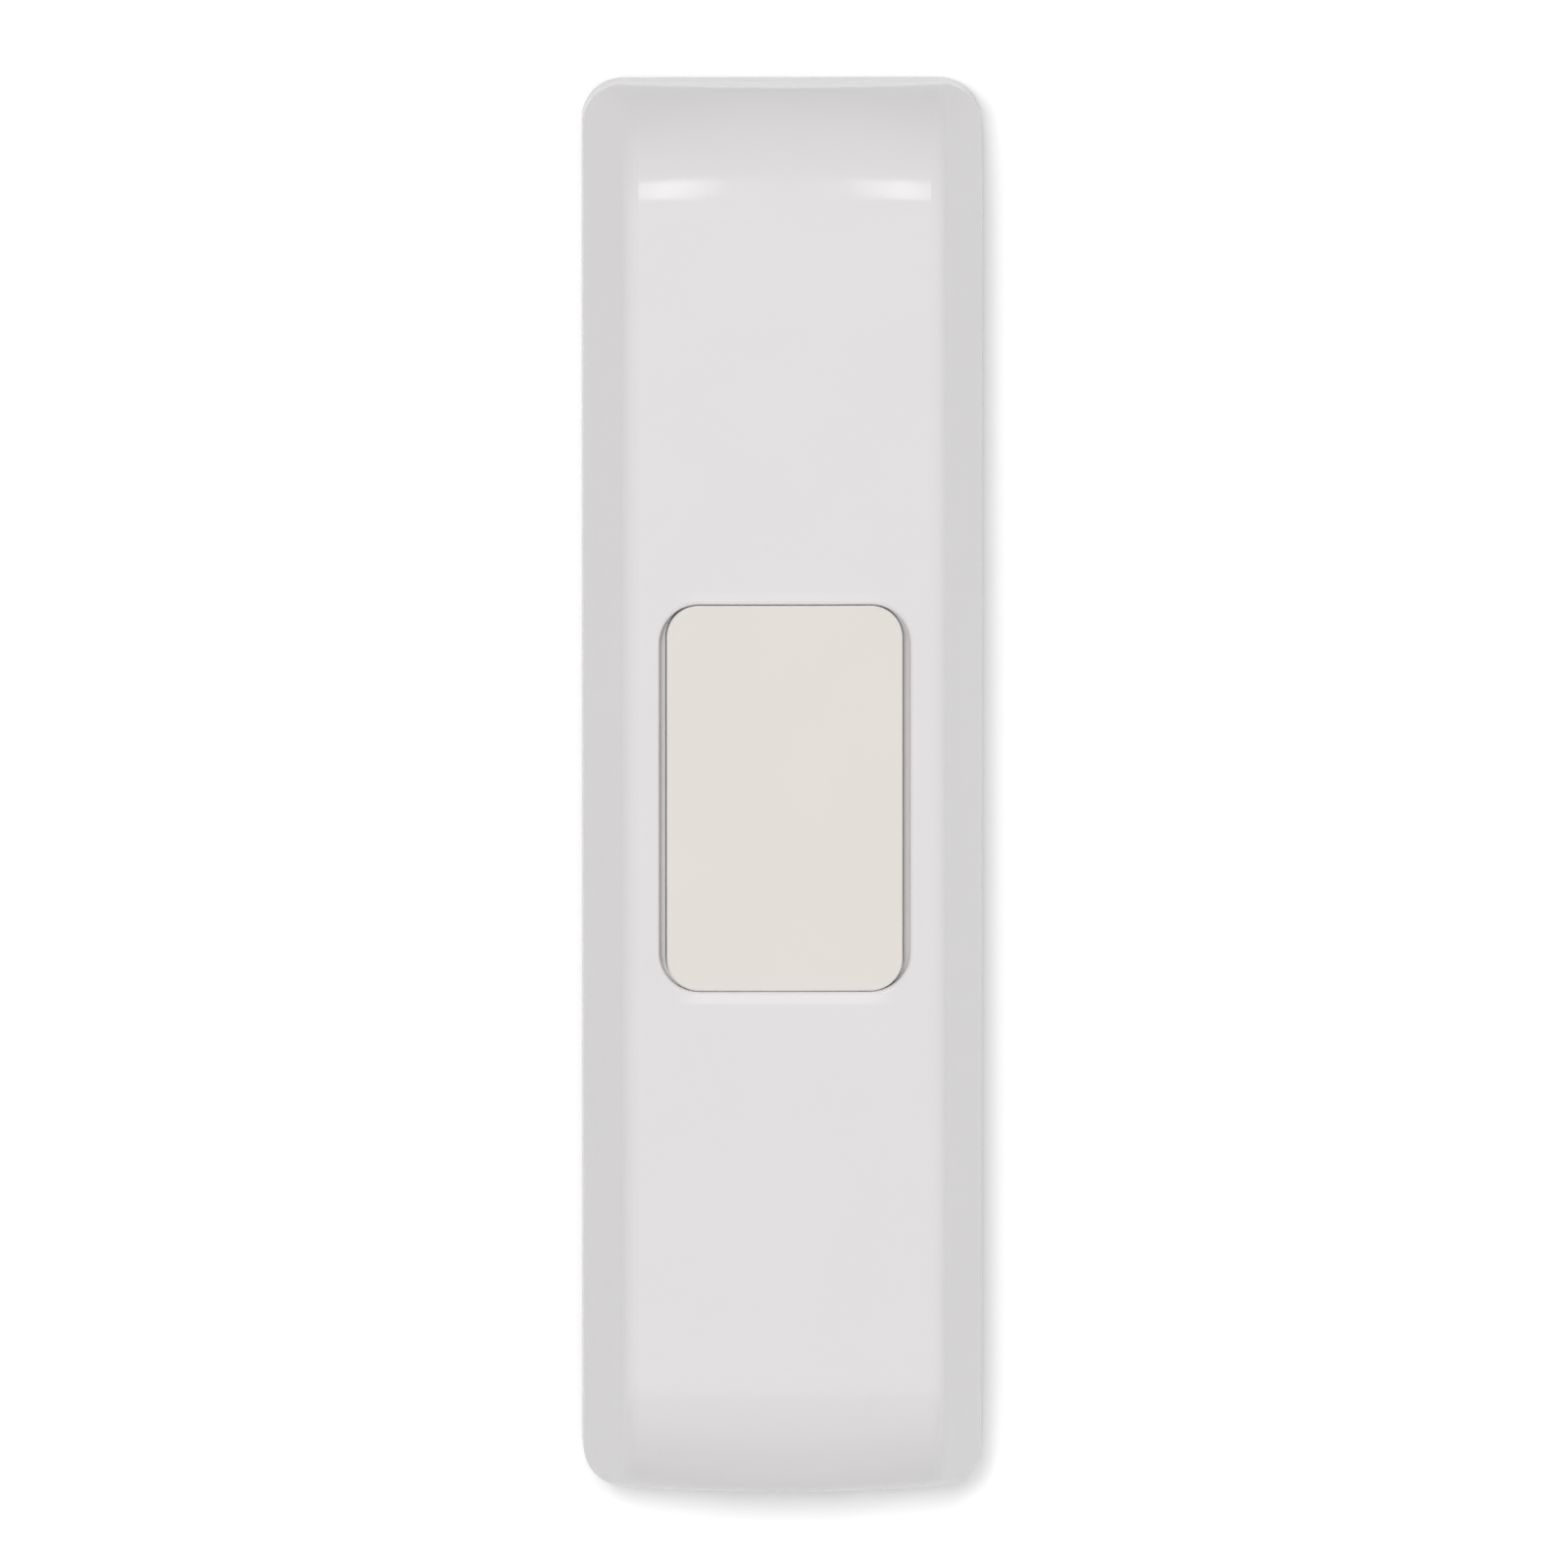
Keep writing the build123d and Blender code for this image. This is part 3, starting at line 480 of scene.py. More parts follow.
def printed_ink():
    """White ink printed on the board, thin in places, so that the green shows."""
    color = (0.74, 0.75, 0.72)
    material, tree, shader = new_material("printed_ink", color, 0.55)
    thin = past(tree, noise(tree, 0.07, 3.0, 0.7), 0.6, 0.1)
    feed(tree, mixed(tree, calculate(tree, "MULTIPLY", thin, 0.35), color, MASK_GREEN),
         shader.inputs["Base Color"])
    feed(tree, spread(tree, noise(tree, 0.3), 0.5, 0.65), shader.inputs["Roughness"])
    relief(tree, shader, noise(tree, 0.08), 0.003)
    return material


# ---- shapes, in millimetres ----

def box_of(node_name):
    """Lowest and highest corner of a CAD node, in millimetres."""
    return tuple(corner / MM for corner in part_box(node_name))


def solids_of(node_name):
    """Lowest and highest corners, in millimetres, of each separate solid in a CAD node."""
    work = bmesh.new()
    work.from_mesh(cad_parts[node_name].data)
    bmesh.ops.remove_doubles(work, verts=work.verts, dist=0.001 * MM)
    found = []
    seen = set()
    for first in work.verts:
        if first in seen:
            continue
        seen.add(first)
        island = [first]
        for vert in island:
            for edge in vert.link_edges:
                other = edge.other_vert(vert)
                if other not in seen:
                    seen.add(other)
                    island.append(other)
        places = [vert.co / MM for vert in island]
        low = Vector(min(place[axis] for place in places) for axis in range(3))
        high = Vector(max(place[axis] for place in places) for axis in range(3))
        found.append((low, high))
    work.free()
    return sorted(found, key=lambda corners: (round(corners[0].z, 2), corners[0].x))


def middle(corners):
    """Middle of a solid, as x and z."""
    low, high = corners
    return (low.x + high.x) / 2, (low.z + high.z) / 2


def slab(work, outline, back, front):
    """A flat plate between two depths. The outline is x and z, and goes round once."""
    rear = [work.verts.new((x, -back, z)) for x, z in outline]
    fore = [work.verts.new((x, -front, z)) for x, z in outline]
    work.faces.new(rear)
    work.faces.new(fore)
    for n in range(len(outline)):
        work.faces.new((rear[n - 1], rear[n], fore[n], fore[n - 1]))


SAME_PLACE = 0.001


def rectangle(x, z, width, height, corner=0.0, steps=4):
    """Outline of a rectangle with rounded corners."""
    outline = []
    for quarter, (side, end) in enumerate(((1, 1), (-1, 1), (-1, -1), (1, -1))):
        centre = Vector((x + side * (width / 2 - corner), z + end * (height / 2 - corner)))
        for n in range(steps + 1 if corner else 1):
            turn = math.radians(90 * (quarter + n / steps))
            outline.append(centre + corner * Vector((math.cos(turn), math.sin(turn))))
    return [here for n, here in enumerate(outline) if (here - outline[n - 1]).length > SAME_PLACE]


def edges_of_line(points, width, closed):
    """Left and right edges of a line of the given width, with mitred corners."""
    corners = [Vector(point) for point in points]
    count = len(corners)
    left, right = [], []
    for n, corner in enumerate(corners):
        headings = []
        if closed or n > 0:
            headings.append((corner - corners[n - 1]).normalized())
        if closed or n < count - 1:
            headings.append((corners[(n + 1) % count] - corner).normalized())
        across = [Vector((-heading.y, heading.x)) for heading in headings]
        mitre = sum(across, Vector((0, 0))).normalized()
        offset = mitre * (width / 2 / mitre.dot(across[0]))
        left.append(corner + offset)
        right.append(corner - offset)
    return left, right


def ribbon(work, points, width, back, front, closed=False):
    """A raised line of the given width along points, between two depths."""
    left, right = edges_of_line(points, width, closed)
    rows = []
    for near, far in zip(left, right):
        rows.append([
            work.verts.new((near.x, -back, near.y)),
            work.verts.new((near.x, -front, near.y)),
            work.verts.new((far.x, -front, far.y)),
            work.verts.new((far.x, -back, far.y)),
        ])
    runs = len(rows) if closed else len(rows) - 1
    for n in range(runs):
        here, there = rows[n], rows[(n + 1) % len(rows)]
        for side in range(4):
            work.faces.new((here[side - 1], here[side], there[side], there[side - 1]))
    if not closed:
        work.faces.new(rows[0])
        work.faces.new(rows[-1])


def lathe(work, x, z, profile, sides=24):
    """A turned shape about the line through x and z. The profile is radius and depth. It is
    solid where it starts and ends on that line, and a ring elsewhere."""
    rows = []
    for radius, depth_mm in profile:
        if radius == 0:
            rows.append([work.verts.new((x, -depth_mm, z))] * sides)
            continue
        rows.append([
            work.verts.new((
                x + radius * math.cos(math.tau * n / sides),
                -depth_mm,
                z + radius * math.sin(math.tau * n / sides),
            ))
            for n in range(sides)
        ])
    is_ring = profile[0][0] > 0
    following = rows[1:] + rows[:1] if is_ring else rows[1:]
    for inner, outer in zip(rows, following):
        for n in range(sides):
            corners = [inner[n - 1], inner[n], outer[n], outer[n - 1]]
            work.faces.new(list(dict.fromkeys(corners)))


def dome(work, x, z, radius, base, height, sides=24, steps=5):
    """A low round cap that stands on the depth base."""
    profile = [(0, base)]
    for n in range(steps + 1):
        turn = math.radians(90 * n / steps)
        reach = radius * math.cos(turn) if n < steps else 0
        profile.append((reach, base + height * math.sin(turn)))
    lathe(work, x, z, profile, sides)


def fillet_profile(reach, height, steps=5):
    """Hollow curve of a solder fillet: distance from the wetted face, and height."""
    turns = [math.radians(90 * n / steps) for n in range(steps + 1)]
    return [(reach * (1 - math.cos(t)), height * (1 - math.sin(t))) for t in turns]


def solder_cone(work, x, z, inner, outer, base, height):
    """Solder drawn up round a pin of radius inner."""
    profile = [(0, base), (outer, base)]
    curve = fillet_profile(outer - inner, height)
    profile += [(inner + out, base + up) for out, up in reversed(curve[:-1])]
    profile.append((0, base + height))
    lathe(work, x, z, profile)


def solder_wedge(work, x, z, side, width, reach, base, height):
    """Solder drawn up an end face at x that faces towards side."""
    curve = fillet_profile(reach, height)
    section = [(0.0, 0.0)] + curve
    ends = []
    for edge in (-width / 2, width / 2):
        ends.append([
            work.verts.new((x + side * out, -base - up, z + edge)) for out, up in section
        ])
    work.faces.new(ends[0])
    work.faces.new(ends[1])
    for n in range(len(section)):
        work.faces.new((ends[0][n - 1], ends[0][n], ends[1][n], ends[1][n - 1]))


SMOOTH_ANGLE = math.radians(40)      # edges sharper than this stay sharp


def make_piece(name, build, material, body="base", smooth=False):
    """A mesh piece that build fills in millimetres. It rides on a body."""
    work = bmesh.new()
    build(work)
    bmesh.ops.scale(work, vec=(MM, MM, MM), verts=work.verts)
    bmesh.ops.recalc_face_normals(work, faces=work.faces)
    mesh = bpy.data.meshes.new(name)
    work.to_mesh(mesh)
    work.free()
    mesh.materials.append(material)
    if smooth:
        mesh.shade_smooth()
        mesh.set_sharp_from_angle(angle=SMOOTH_ANGLE)
    piece = bpy.data.objects.new(name, mesh)
    bpy.context.scene.collection.objects.link(piece)
    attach(piece, body)


# ---- where things are ----

FLANGE_WIDTH = 1.0                    # of the button, round its face
BUTTON_HALF_WIDTH = box_of("push_button")[1].x - FLANGE_WIDTH
BUTTON_HALF_HEIGHT = box_of("push_button")[1].z - FLANGE_WIDTH
BUTTON_CORNER_RADIUS = 2.4
FRONT_DEPTH = -box_of("front_housing")[0].y
PLATEAU_EDGE_DEPTH = FRONT_DEPTH - 0.8     # the housing's plateau lies in front of this
GROOVE_TOP_DEPTH = FRONT_DEPTH - 1.0       # the groove's pale part lies behind this
BOARD_FACE = -box_of("circuit_board")[0].y
COPPER_HEIGHT = 0.04                  # copper and mask above the board's face
PAD_HEIGHT = 0.06
INK_HEIGHT = 0.05
CELL_X, CELL_Z = middle(box_of("coin_cell"))
CELL_FACE = -box_of("coin_cell")[0].y
CAN_X, CAN_Z = middle(box_of("supply_capacitor"))
CAN_TOP = -box_of("supply_capacitor")[0].y
CAN_BASE = 0.9                        # thickness of the can's black base
LED_X, LED_Z = middle(box_of("status_led"))
CHIP_LOW, CHIP_HIGH = box_of("transmitter_chip")
CHIP_LEADS = solids_of("chip_leads")
SMALL_ENDS = solids_of("smd_terminals")
SWITCH_FEET = solids_of("switch_terminals")
COIL_LOW, COIL_HIGH = box_of("antenna_coil")
COIL_LEG_RADIUS = 0.36
COIL_LEG_X = COIL_HIGH.x - COIL_LEG_RADIUS


def small_parts():
    """The small two-ended parts: pairs of their left and right ends."""
    return list(zip(SMALL_ENDS[0::2], SMALL_ENDS[1::2]))


# ---- board: copper, pads, solder and print ----

TRACE_WIDTH = 0.3
POWER_WIDTH = 0.7

# Corners of the copper lines, in x and z
POWER_TRACES = [
    [(-4.0, 19.5), (-4.0, 9.6), (-6.6, 7.0), (-7.2, 7.0)],
    [(4.0, 19.5), (4.0, 10.8), (6.8, 8.0), (7.2, 8.0)],
    [(8.8, 8.0), (10.4, 6.4), (10.4, -33.0), (8.8, -34.6), (-1.4, -34.6), (-4.1, -34.4)],
    [(-8.8, 7.0), (-10.4, 5.4), (-10.4, -2.4), (-10.4, -16.6), (-9.3, -18.5)],
]
SIGNAL_TRACES = [
    [(-8.8, 4.0), (-9.7, 3.1), (-9.7, -5.1), (-8.8, -6.0)],
    [(-7.2, 4.0), (-5.6, 2.4), (-4.0, 2.3)],
    [(4.0, 2.3), (4.9, 3.2), (4.9, 5.8), (6.6, 7.5), (7.2, 7.8)],
    [(-4.0, -2.3), (-5.6, -3.9), (-5.6, -5.0), (-6.4, -5.8), (-7.2, -6.0)],
    [(4.0, -2.3), (4.8, -3.1), (4.8, -5.6), (7.2, -8.0)],
    [(-7.2, -9.0), (-5.4, -10.8), (-5.4, -13.6), (-4.0, -15.0)],
    [(-7.2, -12.0), (-6.2, -13.0), (-6.2, -18.6), (-8.2, -20.6), (-8.2, -21.6), (-7.6, -22.2)],
    [(-8.8, -9.0), (-9.7, -9.9), (-9.7, -16.1), (-9.1, -16.9), (-9.1, -17.8)],
    [(-8.8, -12.0), (-9.1, -12.6), (-9.1, -15.6), (-7.0, -17.7), (-7.7, -18.5)],
    [(-2.0, -15.0), (-1.1, -15.9), (-1.1, -21.2), (-1.5, -22.2)],
    [(-1.5, -23.46), (-0.3, -22.3), (-0.3, -17.1), (1.8, -15.0), (2.2, -15.0)],
    [(3.8, -15.0), (5.0, -16.2), (5.0, -20.4), (4.4, -21.5)],
    [(7.2, -11.0), (6.2, -12.0), (6.2, -16.6), (7.0, -17.6), (7.0, -18.6)],
    [(8.8, -11.0), (9.5, -11.7), (9.5, -16.8), (9.0, -18.6)],
    [(8.2, 0.0), (9.4, -1.2), (9.4, -7.4), (8.8, -8.0)],
    [(-1.5, -26.0), (-0.6, -26.0), (0.2, -25.2), (5.6, -25.2)],
    [(-1.5, -27.27), (-0.4, -27.27), (0.5, -28.2), (5.6, -28.2)],
    [(-1.5, -29.81), (-0.9, -30.4), (-0.9, -31.6), (0.8, -33.3), (4.4, -33.5)],
    [(-7.6, -28.54), (-8.6, -28.54), (-9.4, -29.3), (-9.4, -33.6), (-8.6, -34.4)],
    [(-7.6, -26.0), (-9.4, -26.0), (-10.1, -26.7), (-10.1, -36.6), (-8.6, -38.1)],
    [(-7.6, -23.46), (-9.4, -23.46), (-10.0, -22.8), (-10.0, -19.6)],
]
VIAS = [(-10.0, -19.6), (-8.6, -38.1), (0.9, 12.4), (-1.3, 10.2), (1.9, -18.4), (5.0, -38.0),
        (-2.2, -37.6), (10.4, 3.2), (-10.4, -2.4), (2.4, -8.2)]
TEST_PADS = [(-2.4, -10.2), (0.0, -10.2), (2.4, -10.2), (0.0, -12.4)]
TEST_PAD_RADIUS = 0.7
VIA_HOLE_RADIUS = 0.17
VIA_RADIUS = 0.36
PAD_CORNER = 0.12
CHIP_PAD_MARGIN = 0.2
END_PAD_MARGIN = 0.3
SWITCH_PAD_MARGIN = 0.35
CAN_PAD_OFFSET = 2.1                  # from the can's middle
CAN_PAD_SIZE = (1.4, 1.1)
CAN_PAD_CORNER = 0.1
SCREW_PAD_MARGIN = 0.35
SCREW_PAD_OVERLAP = 0.2               # beneath the screw's head


def ring_profile(inner, outer, back, front):
    """Profile for lathe of a flat ring, or of a disc where inner is 0."""
    return [(inner, back), (outer, back), (outer, front), (inner, front)]


def fill_traces(work):
    front = BOARD_FACE + COPPER_HEIGHT
    for width, routes in ((POWER_WIDTH, POWER_TRACES), (TRACE_WIDTH, SIGNAL_TRACES)):
        for route in routes:
            ribbon(work, route, width, BOARD_FACE, front)


def fill_vias(work):
    """Plated rings that stand a little proud of the mask."""
    front = BOARD_FACE + PAD_HEIGHT
    for x, z in VIAS:
        lathe(work, x, z, ring_profile(VIA_HOLE_RADIUS, VIA_RADIUS, BOARD_FACE, front), sides=16)


def fill_pads(work):
    """Tinned pads under every foot and end, and round the screws."""
    front = BOARD_FACE + PAD_HEIGHT

    def pad_under(corners, margin):
        low, high = corners
        x, z = middle(corners)
        width = high.x - low.x + 2 * margin
        height = high.z - low.z + margin
        slab(work, rectangle(x, z, width, height, PAD_CORNER), BOARD_FACE, front)

    for feet, margin in (
        (CHIP_LEADS, CHIP_PAD_MARGIN),
        (SMALL_ENDS, END_PAD_MARGIN),
        (SWITCH_FEET, SWITCH_PAD_MARGIN),
    ):
        for corners in feet:
            pad_under(corners, margin)
    for side in (-1, 1):
        pad = rectangle(CAN_X + side * CAN_PAD_OFFSET, CAN_Z, *CAN_PAD_SIZE, CAN_PAD_CORNER)
        slab(work, pad, BOARD_FACE, front)
    for x, z in TEST_PADS:
        lathe(work, x, z, ring_profile(0, TEST_PAD_RADIUS, BOARD_FACE, front))
    for corners in solids_of("board_screws"):
        x, z = middle(corners)
        head = (corners[1].x - corners[0].x) / 2
        inner, outer = head - SCREW_PAD_OVERLAP, head + SCREW_PAD_MARGIN
        lathe(work, x, z, ring_profile(inner, outer, BOARD_FACE, front), sides=40)


# Solder fillets: how far they reach from the foot, and how high they rise on it
CHIP_FILLET = (0.3, 0.2)
SWITCH_FILLET = (0.4, 0.22)
END_FILLET_REACH = 0.36
END_FILLET_RISE = 0.7                 # share of the small part's height
END_FILLET_WIDTH = 0.96               # share of its width
COIL_CONE_RADIUS = 0.95
COIL_CONE_HEIGHT = 0.75
COIL_CONE_CLEARANCE = 0.02


def fill_solder(work):
    """Fillets at the outer end of each foot, and cones round the coil's legs."""
    base = BOARD_FACE + PAD_HEIGHT / 2

    def fillet(corners, side, share, reach, height):
        low, high = corners
        end = high.x if side > 0 else low.x
        z = (low.z + high.z) / 2
        solder_wedge(work, end, z, side, (high.z - low.z) * share, reach, base, height)

    for feet, split, sizes in (
        (CHIP_LEADS, middle((CHIP_LOW, CHIP_HIGH))[0], CHIP_FILLET),
        (SWITCH_FEET, 0.0, SWITCH_FILLET),
    ):
        for corners in feet:
            fillet(corners, 1 if corners[0].x > split else -1, 1.0, *sizes)
    for left, right in small_parts():
        height = END_FILLET_RISE * (-left[0].y - BOARD_FACE)
        for side, corners in ((-1, left), (1, right)):
            fillet(corners, side, END_FILLET_WIDTH, END_FILLET_REACH, height)
    inner = COIL_LEG_RADIUS + COIL_CONE_CLEARANCE
    for z in (COIL_LOW.z + COIL_LEG_RADIUS, COIL_HIGH.z - COIL_LEG_RADIUS):
        solder_cone(work, COIL_LEG_X, z, inner, COIL_CONE_RADIUS, base, COIL_CONE_HEIGHT)


INK_WIDTH = 0.16
INK_GAP = 0.35                        # from a part to its outline
PIN_DOT_RADIUS = 0.25
PIN_DOT_OFFSET = (-0.9, 0.6)          # from the chip's upper left corner
LED_RING = 4.3
FIRST_PAD_FRAME = 2.0
HOLDER_LINE = 6.4                     # half its length
PLUS_X = -5.3
PLUS_REACH = 0.7
PLUS_DROP = 1.7                       # below the battery holder
PLUS_CLEARANCE = 0.08                 # between its upright's halves and its middle
COIL_LINE_INSETS = (0.6, 1.1)         # left and right, from the coil's ends


def fill_print(work):
    """Plain outlines round the parts. The plus sign marks the cell's positive side."""
    front = BOARD_FACE + INK_HEIGHT

    def line(points, closed=False):
        ribbon(work, points, INK_WIDTH, BOARD_FACE, front, closed)

    for left, right in small_parts():
        for z in (left[0].z - INK_GAP, left[1].z + INK_GAP):
            line([(left[0].x, z), (right[1].x, z)])
    for z in (CHIP_LOW.z - INK_GAP, CHIP_HIGH.z + INK_GAP):
        line([(CHIP_LOW.x, z), (CHIP_HIGH.x, z)])
    across, up = PIN_DOT_OFFSET
    dot = ring_profile(0, PIN_DOT_RADIUS, BOARD_FACE, front)
    lathe(work, CHIP_LOW.x + across, CHIP_HIGH.z + up, dot, sides=16)
    low, high = box_of("switch_body")
    width, height = high.x - low.x + 2 * INK_GAP, high.z - low.z + 2 * INK_GAP
    line(rectangle(0, 0, width, height), closed=True)
    low, high = box_of("crystal")
    width, height = high.x - low.x + 4 * INK_GAP, high.z - low.z + 4 * INK_GAP
    line(rectangle(*middle((low, high)), width, height, width / 2, steps=8), closed=True)
    low, high = box_of("supply_capacitor")
    reach = (high.x - low.x) / 2 + INK_GAP
    cut = reach * 0.5
    line([(CAN_X + reach, CAN_Z - reach), (CAN_X + reach, CAN_Z + reach),
          (CAN_X - cut, CAN_Z + reach), (CAN_X - reach, CAN_Z + cut),
          (CAN_X - reach, CAN_Z - cut), (CAN_X - cut, CAN_Z - reach)], closed=True)
    line(rectangle(LED_X, LED_Z, LED_RING, LED_RING, LED_RING / 2, steps=8), closed=True)
    left, right = COIL_LINE_INSETS
    for z in (COIL_LOW.z - 2 * INK_GAP, COIL_HIGH.z + 2 * INK_GAP):
        line([(COIL_LOW.x + left, z), (COIL_HIGH.x - right, z)])
    foot = box_of("battery_holder")[0].z
    line([(-HOLDER_LINE, foot - INK_GAP), (HOLDER_LINE, foot - INK_GAP)])
    line(rectangle(*TEST_PADS[0], FIRST_PAD_FRAME, FIRST_PAD_FRAME), closed=True)
    plus_z = foot - PLUS_DROP
    line([(PLUS_X - PLUS_REACH, plus_z), (PLUS_X + PLUS_REACH, plus_z)])
    line([(PLUS_X, plus_z - PLUS_REACH), (PLUS_X, plus_z - PLUS_CLEARANCE)])
    line([(PLUS_X, plus_z + PLUS_CLEARANCE), (PLUS_X, plus_z + PLUS_REACH)])


# ---- small details of the parts ----

MARK_HEIGHT = 0.03
MARK_DROP = 4.6                       # from the cell's middle to the plus sign
MARK_RIM = (8.75, 8.95)               # radii of the rim line


def fill_cell_mark(work):
    """Etched plus sign and rim line on the cell's positive face."""
    front = CELL_FACE + MARK_HEIGHT
    plus_z = CELL_Z - MARK_DROP
    reach, half = 1.5, 0.3
    outline = [(-half, -reach), (half, -reach), (half, -half), (reach, -half), (reach, half),
               (half, half), (half, reach), (-half, reach), (-half, half), (-reach, half),
               (-reach, -half), (-half, -half)]
    slab(work, [(CELL_X + x, plus_z + z) for x, z in outline], CELL_FACE, front)
    lathe(work, CELL_X, CELL_Z, ring_profile(*MARK_RIM, CELL_FACE, front), sides=96)


POST_INSET = 0.85
POST_RADIUS = 0.48
POST_HEIGHT = 0.2


def fill_switch_posts(work):
    """Four heat-formed posts that hold the switch's cover."""
    low, high = box_of("switch_cover")
    for x in (low.x + POST_INSET, high.x - POST_INSET):
        for z in (low.z + POST_INSET, high.z - POST_INSET):
            dome(work, x, z, POST_RADIUS, -low.y, POST_HEIGHT)


LED_POST_HEIGHT = 2.1
LED_CUP_HEIGHT = 2.3                  # of the post beneath the cup


def fill_led_frame(work):
    """Lead frame in the light: a post, and a taller one that carries the cup."""
    foot = BOARD_FACE + 0.1
    base = foot + LED_CUP_HEIGHT
    slab(work, rectangle(LED_X + 0.65, LED_Z, 0.5, 0.5), foot, foot + LED_POST_HEIGHT)
    slab(work, rectangle(LED_X - 0.5, LED_Z, 0.6, 0.5), foot, base)
    cup = [(0, base), (0.45, base), (0.7, base + 0.55), (0.58, base + 0.55), (0.3, base + 0.2),
           (0, base + 0.2)]
    lathe(work, LED_X - 0.3, LED_Z, cup)


CRYSTAL_LIP = 0.45
CRYSTAL_LIP_HEIGHT = 0.4


def fill_crystal_flange(work):
    """Welded flange round the foot of the crystal's can."""
    low, high = box_of("crystal")
    width = high.x - low.x + CRYSTAL_LIP
    height = high.z - low.z + CRYSTAL_LIP
    outline = rectangle(*middle((low, high)), width, height, width / 2, steps=12)
    ribbon(work, outline, CRYSTAL_LIP, BOARD_FACE, BOARD_FACE + CRYSTAL_LIP_HEIGHT, closed=True)


def make_springs():
    """The return springs, copied so that each has its own mesh, ride on the cover. They stand on the
    retainer.
    """
    for name in ("upper_spring", "lower_spring"):
        coil = bpy.data.objects.new(name + "_coil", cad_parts[name].data.copy())
        bpy.context.scene.collection.objects.link(coil)
        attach(coil, "cover")
        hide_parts(name)
        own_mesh(coil)


def dress_parts():
    make_piece("board_traces", fill_traces, solder_mask("trace_green", COPPER_GREEN, GLASS_TAN))
    tin = solder()
    make_piece("board_vias", fill_vias, tin)
    make_piece("board_pads", fill_pads, tin)
    make_piece("solder_joints", fill_solder, tin, smooth=True)
    make_piece("board_print", fill_print, printed_ink())
    make_piece("cell_mark", fill_cell_mark, etched_steel())
    make_piece("switch_posts", fill_switch_posts, MATERIALS["black_plastic"],
               smooth=True)
    make_piece("led_frame", fill_led_frame, MATERIALS["tinned_metal"])
    make_piece("crystal_flange", fill_crystal_flange, MATERIALS["bright_metal"])


# The finish of each material slot. After its colour a plastic has its roughness, the size and
# the depth of its grain and its variation, and a metal has its roughness, lay and lay's depth.
MATERIALS = {
    "housing_white": glossy_housing(
        "housing_white", (0.792, 0.776, 0.776), BUTTON_HALF_HEIGHT, BUTTON_HALF_HEIGHT / 2,
        PLATEAU_EDGE_DEPTH,
    ),
    "button_white": plastic("button_white", (0.80, 0.765, 0.715), 0.4, 0.3, 0.001, 0.008),
    "silicone": silicone_rubber(),
    "inner_plastic": plastic("inner_plastic", (0.66, 0.65, 0.64), 0.5, 0.16, 0.005, 0.03),
    "screw_steel": metal("screw_steel", (0.62, 0.62, 0.6), 0.32, (0.12, 0.5, 0.12)),
    "spring_steel": metal("spring_steel", (0.66, 0.66, 0.65), 0.25, (1.6, 0.09, 0.09)),
    "plate_white": plastic("plate_white", (0.76, 0.75, 0.755), 0.5, 0.2, 0.006, 0.02),
    "foam_tape": foam(),
    "board_green": solder_mask("board_green", MASK_GREEN, GLASS_TAN),
    "black_plastic": plastic("black_plastic", (0.028, 0.028, 0.03), 0.42, 0.14, 0.005, 0.2),
    "bright_metal": metal("bright_metal", (0.75, 0.75, 0.74), 0.25, (0.07, 0.07, 1.8)),
    "plunger_plastic": plastic("plunger_plastic", (0.07, 0.07, 0.075), 0.35, 0.25, 0.003, 0.12),
    "tinned_metal": metal("tinned_metal", (0.72, 0.72, 0.7), 0.34, 0.18, 0.006),
    "cell_steel": cell_steel(CELL_X, CELL_Z),
    "chip_black": epoxy_black(CHIP_LOW.x + DIMPLE_INSET, CHIP_HIGH.z - DIMPLE_INSET),
    "copper_wire": enamelled_copper(BOARD_FACE + TINNED_HEIGHT),
    "capacitor_can": capacitor_sleeve(CAN_X, CAN_Z, BOARD_FACE + CAN_BASE, CAN_TOP),
    "led_lens": tinted_lens(),
    "ceramic_tan": ceramic(),
}


def paint_gap_light():
    """The gap lies between the housing and the button, so light is painted into both there."""
    for finish in ("housing_white", "button_white"):
        paint_gap_light_ends(MATERIALS[finish], BUTTON_HALF_WIDTH, BUTTON_HALF_HEIGHT,
                      BUTTON_CORNER_RADIUS, GROOVE_TOP_DEPTH)


def dress_cad_nodes():
    """Gives every carried-over node the material of its slot."""
    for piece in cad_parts.values():
        for slot in piece.material_slots:
            slot.material = MATERIALS[slot.material.name.split(".")[0]]


# ---- stage: wall, floor and background ----

STUDIO_WHITE = 0.84
MIRRORED_WHITE = 1.0   # in reflections and through clear material
SHOWN_WHITE = 1.20     # straight to the camera: plain white, except in the object's shadow


def grey(level):
    return (level, level, level, 1)


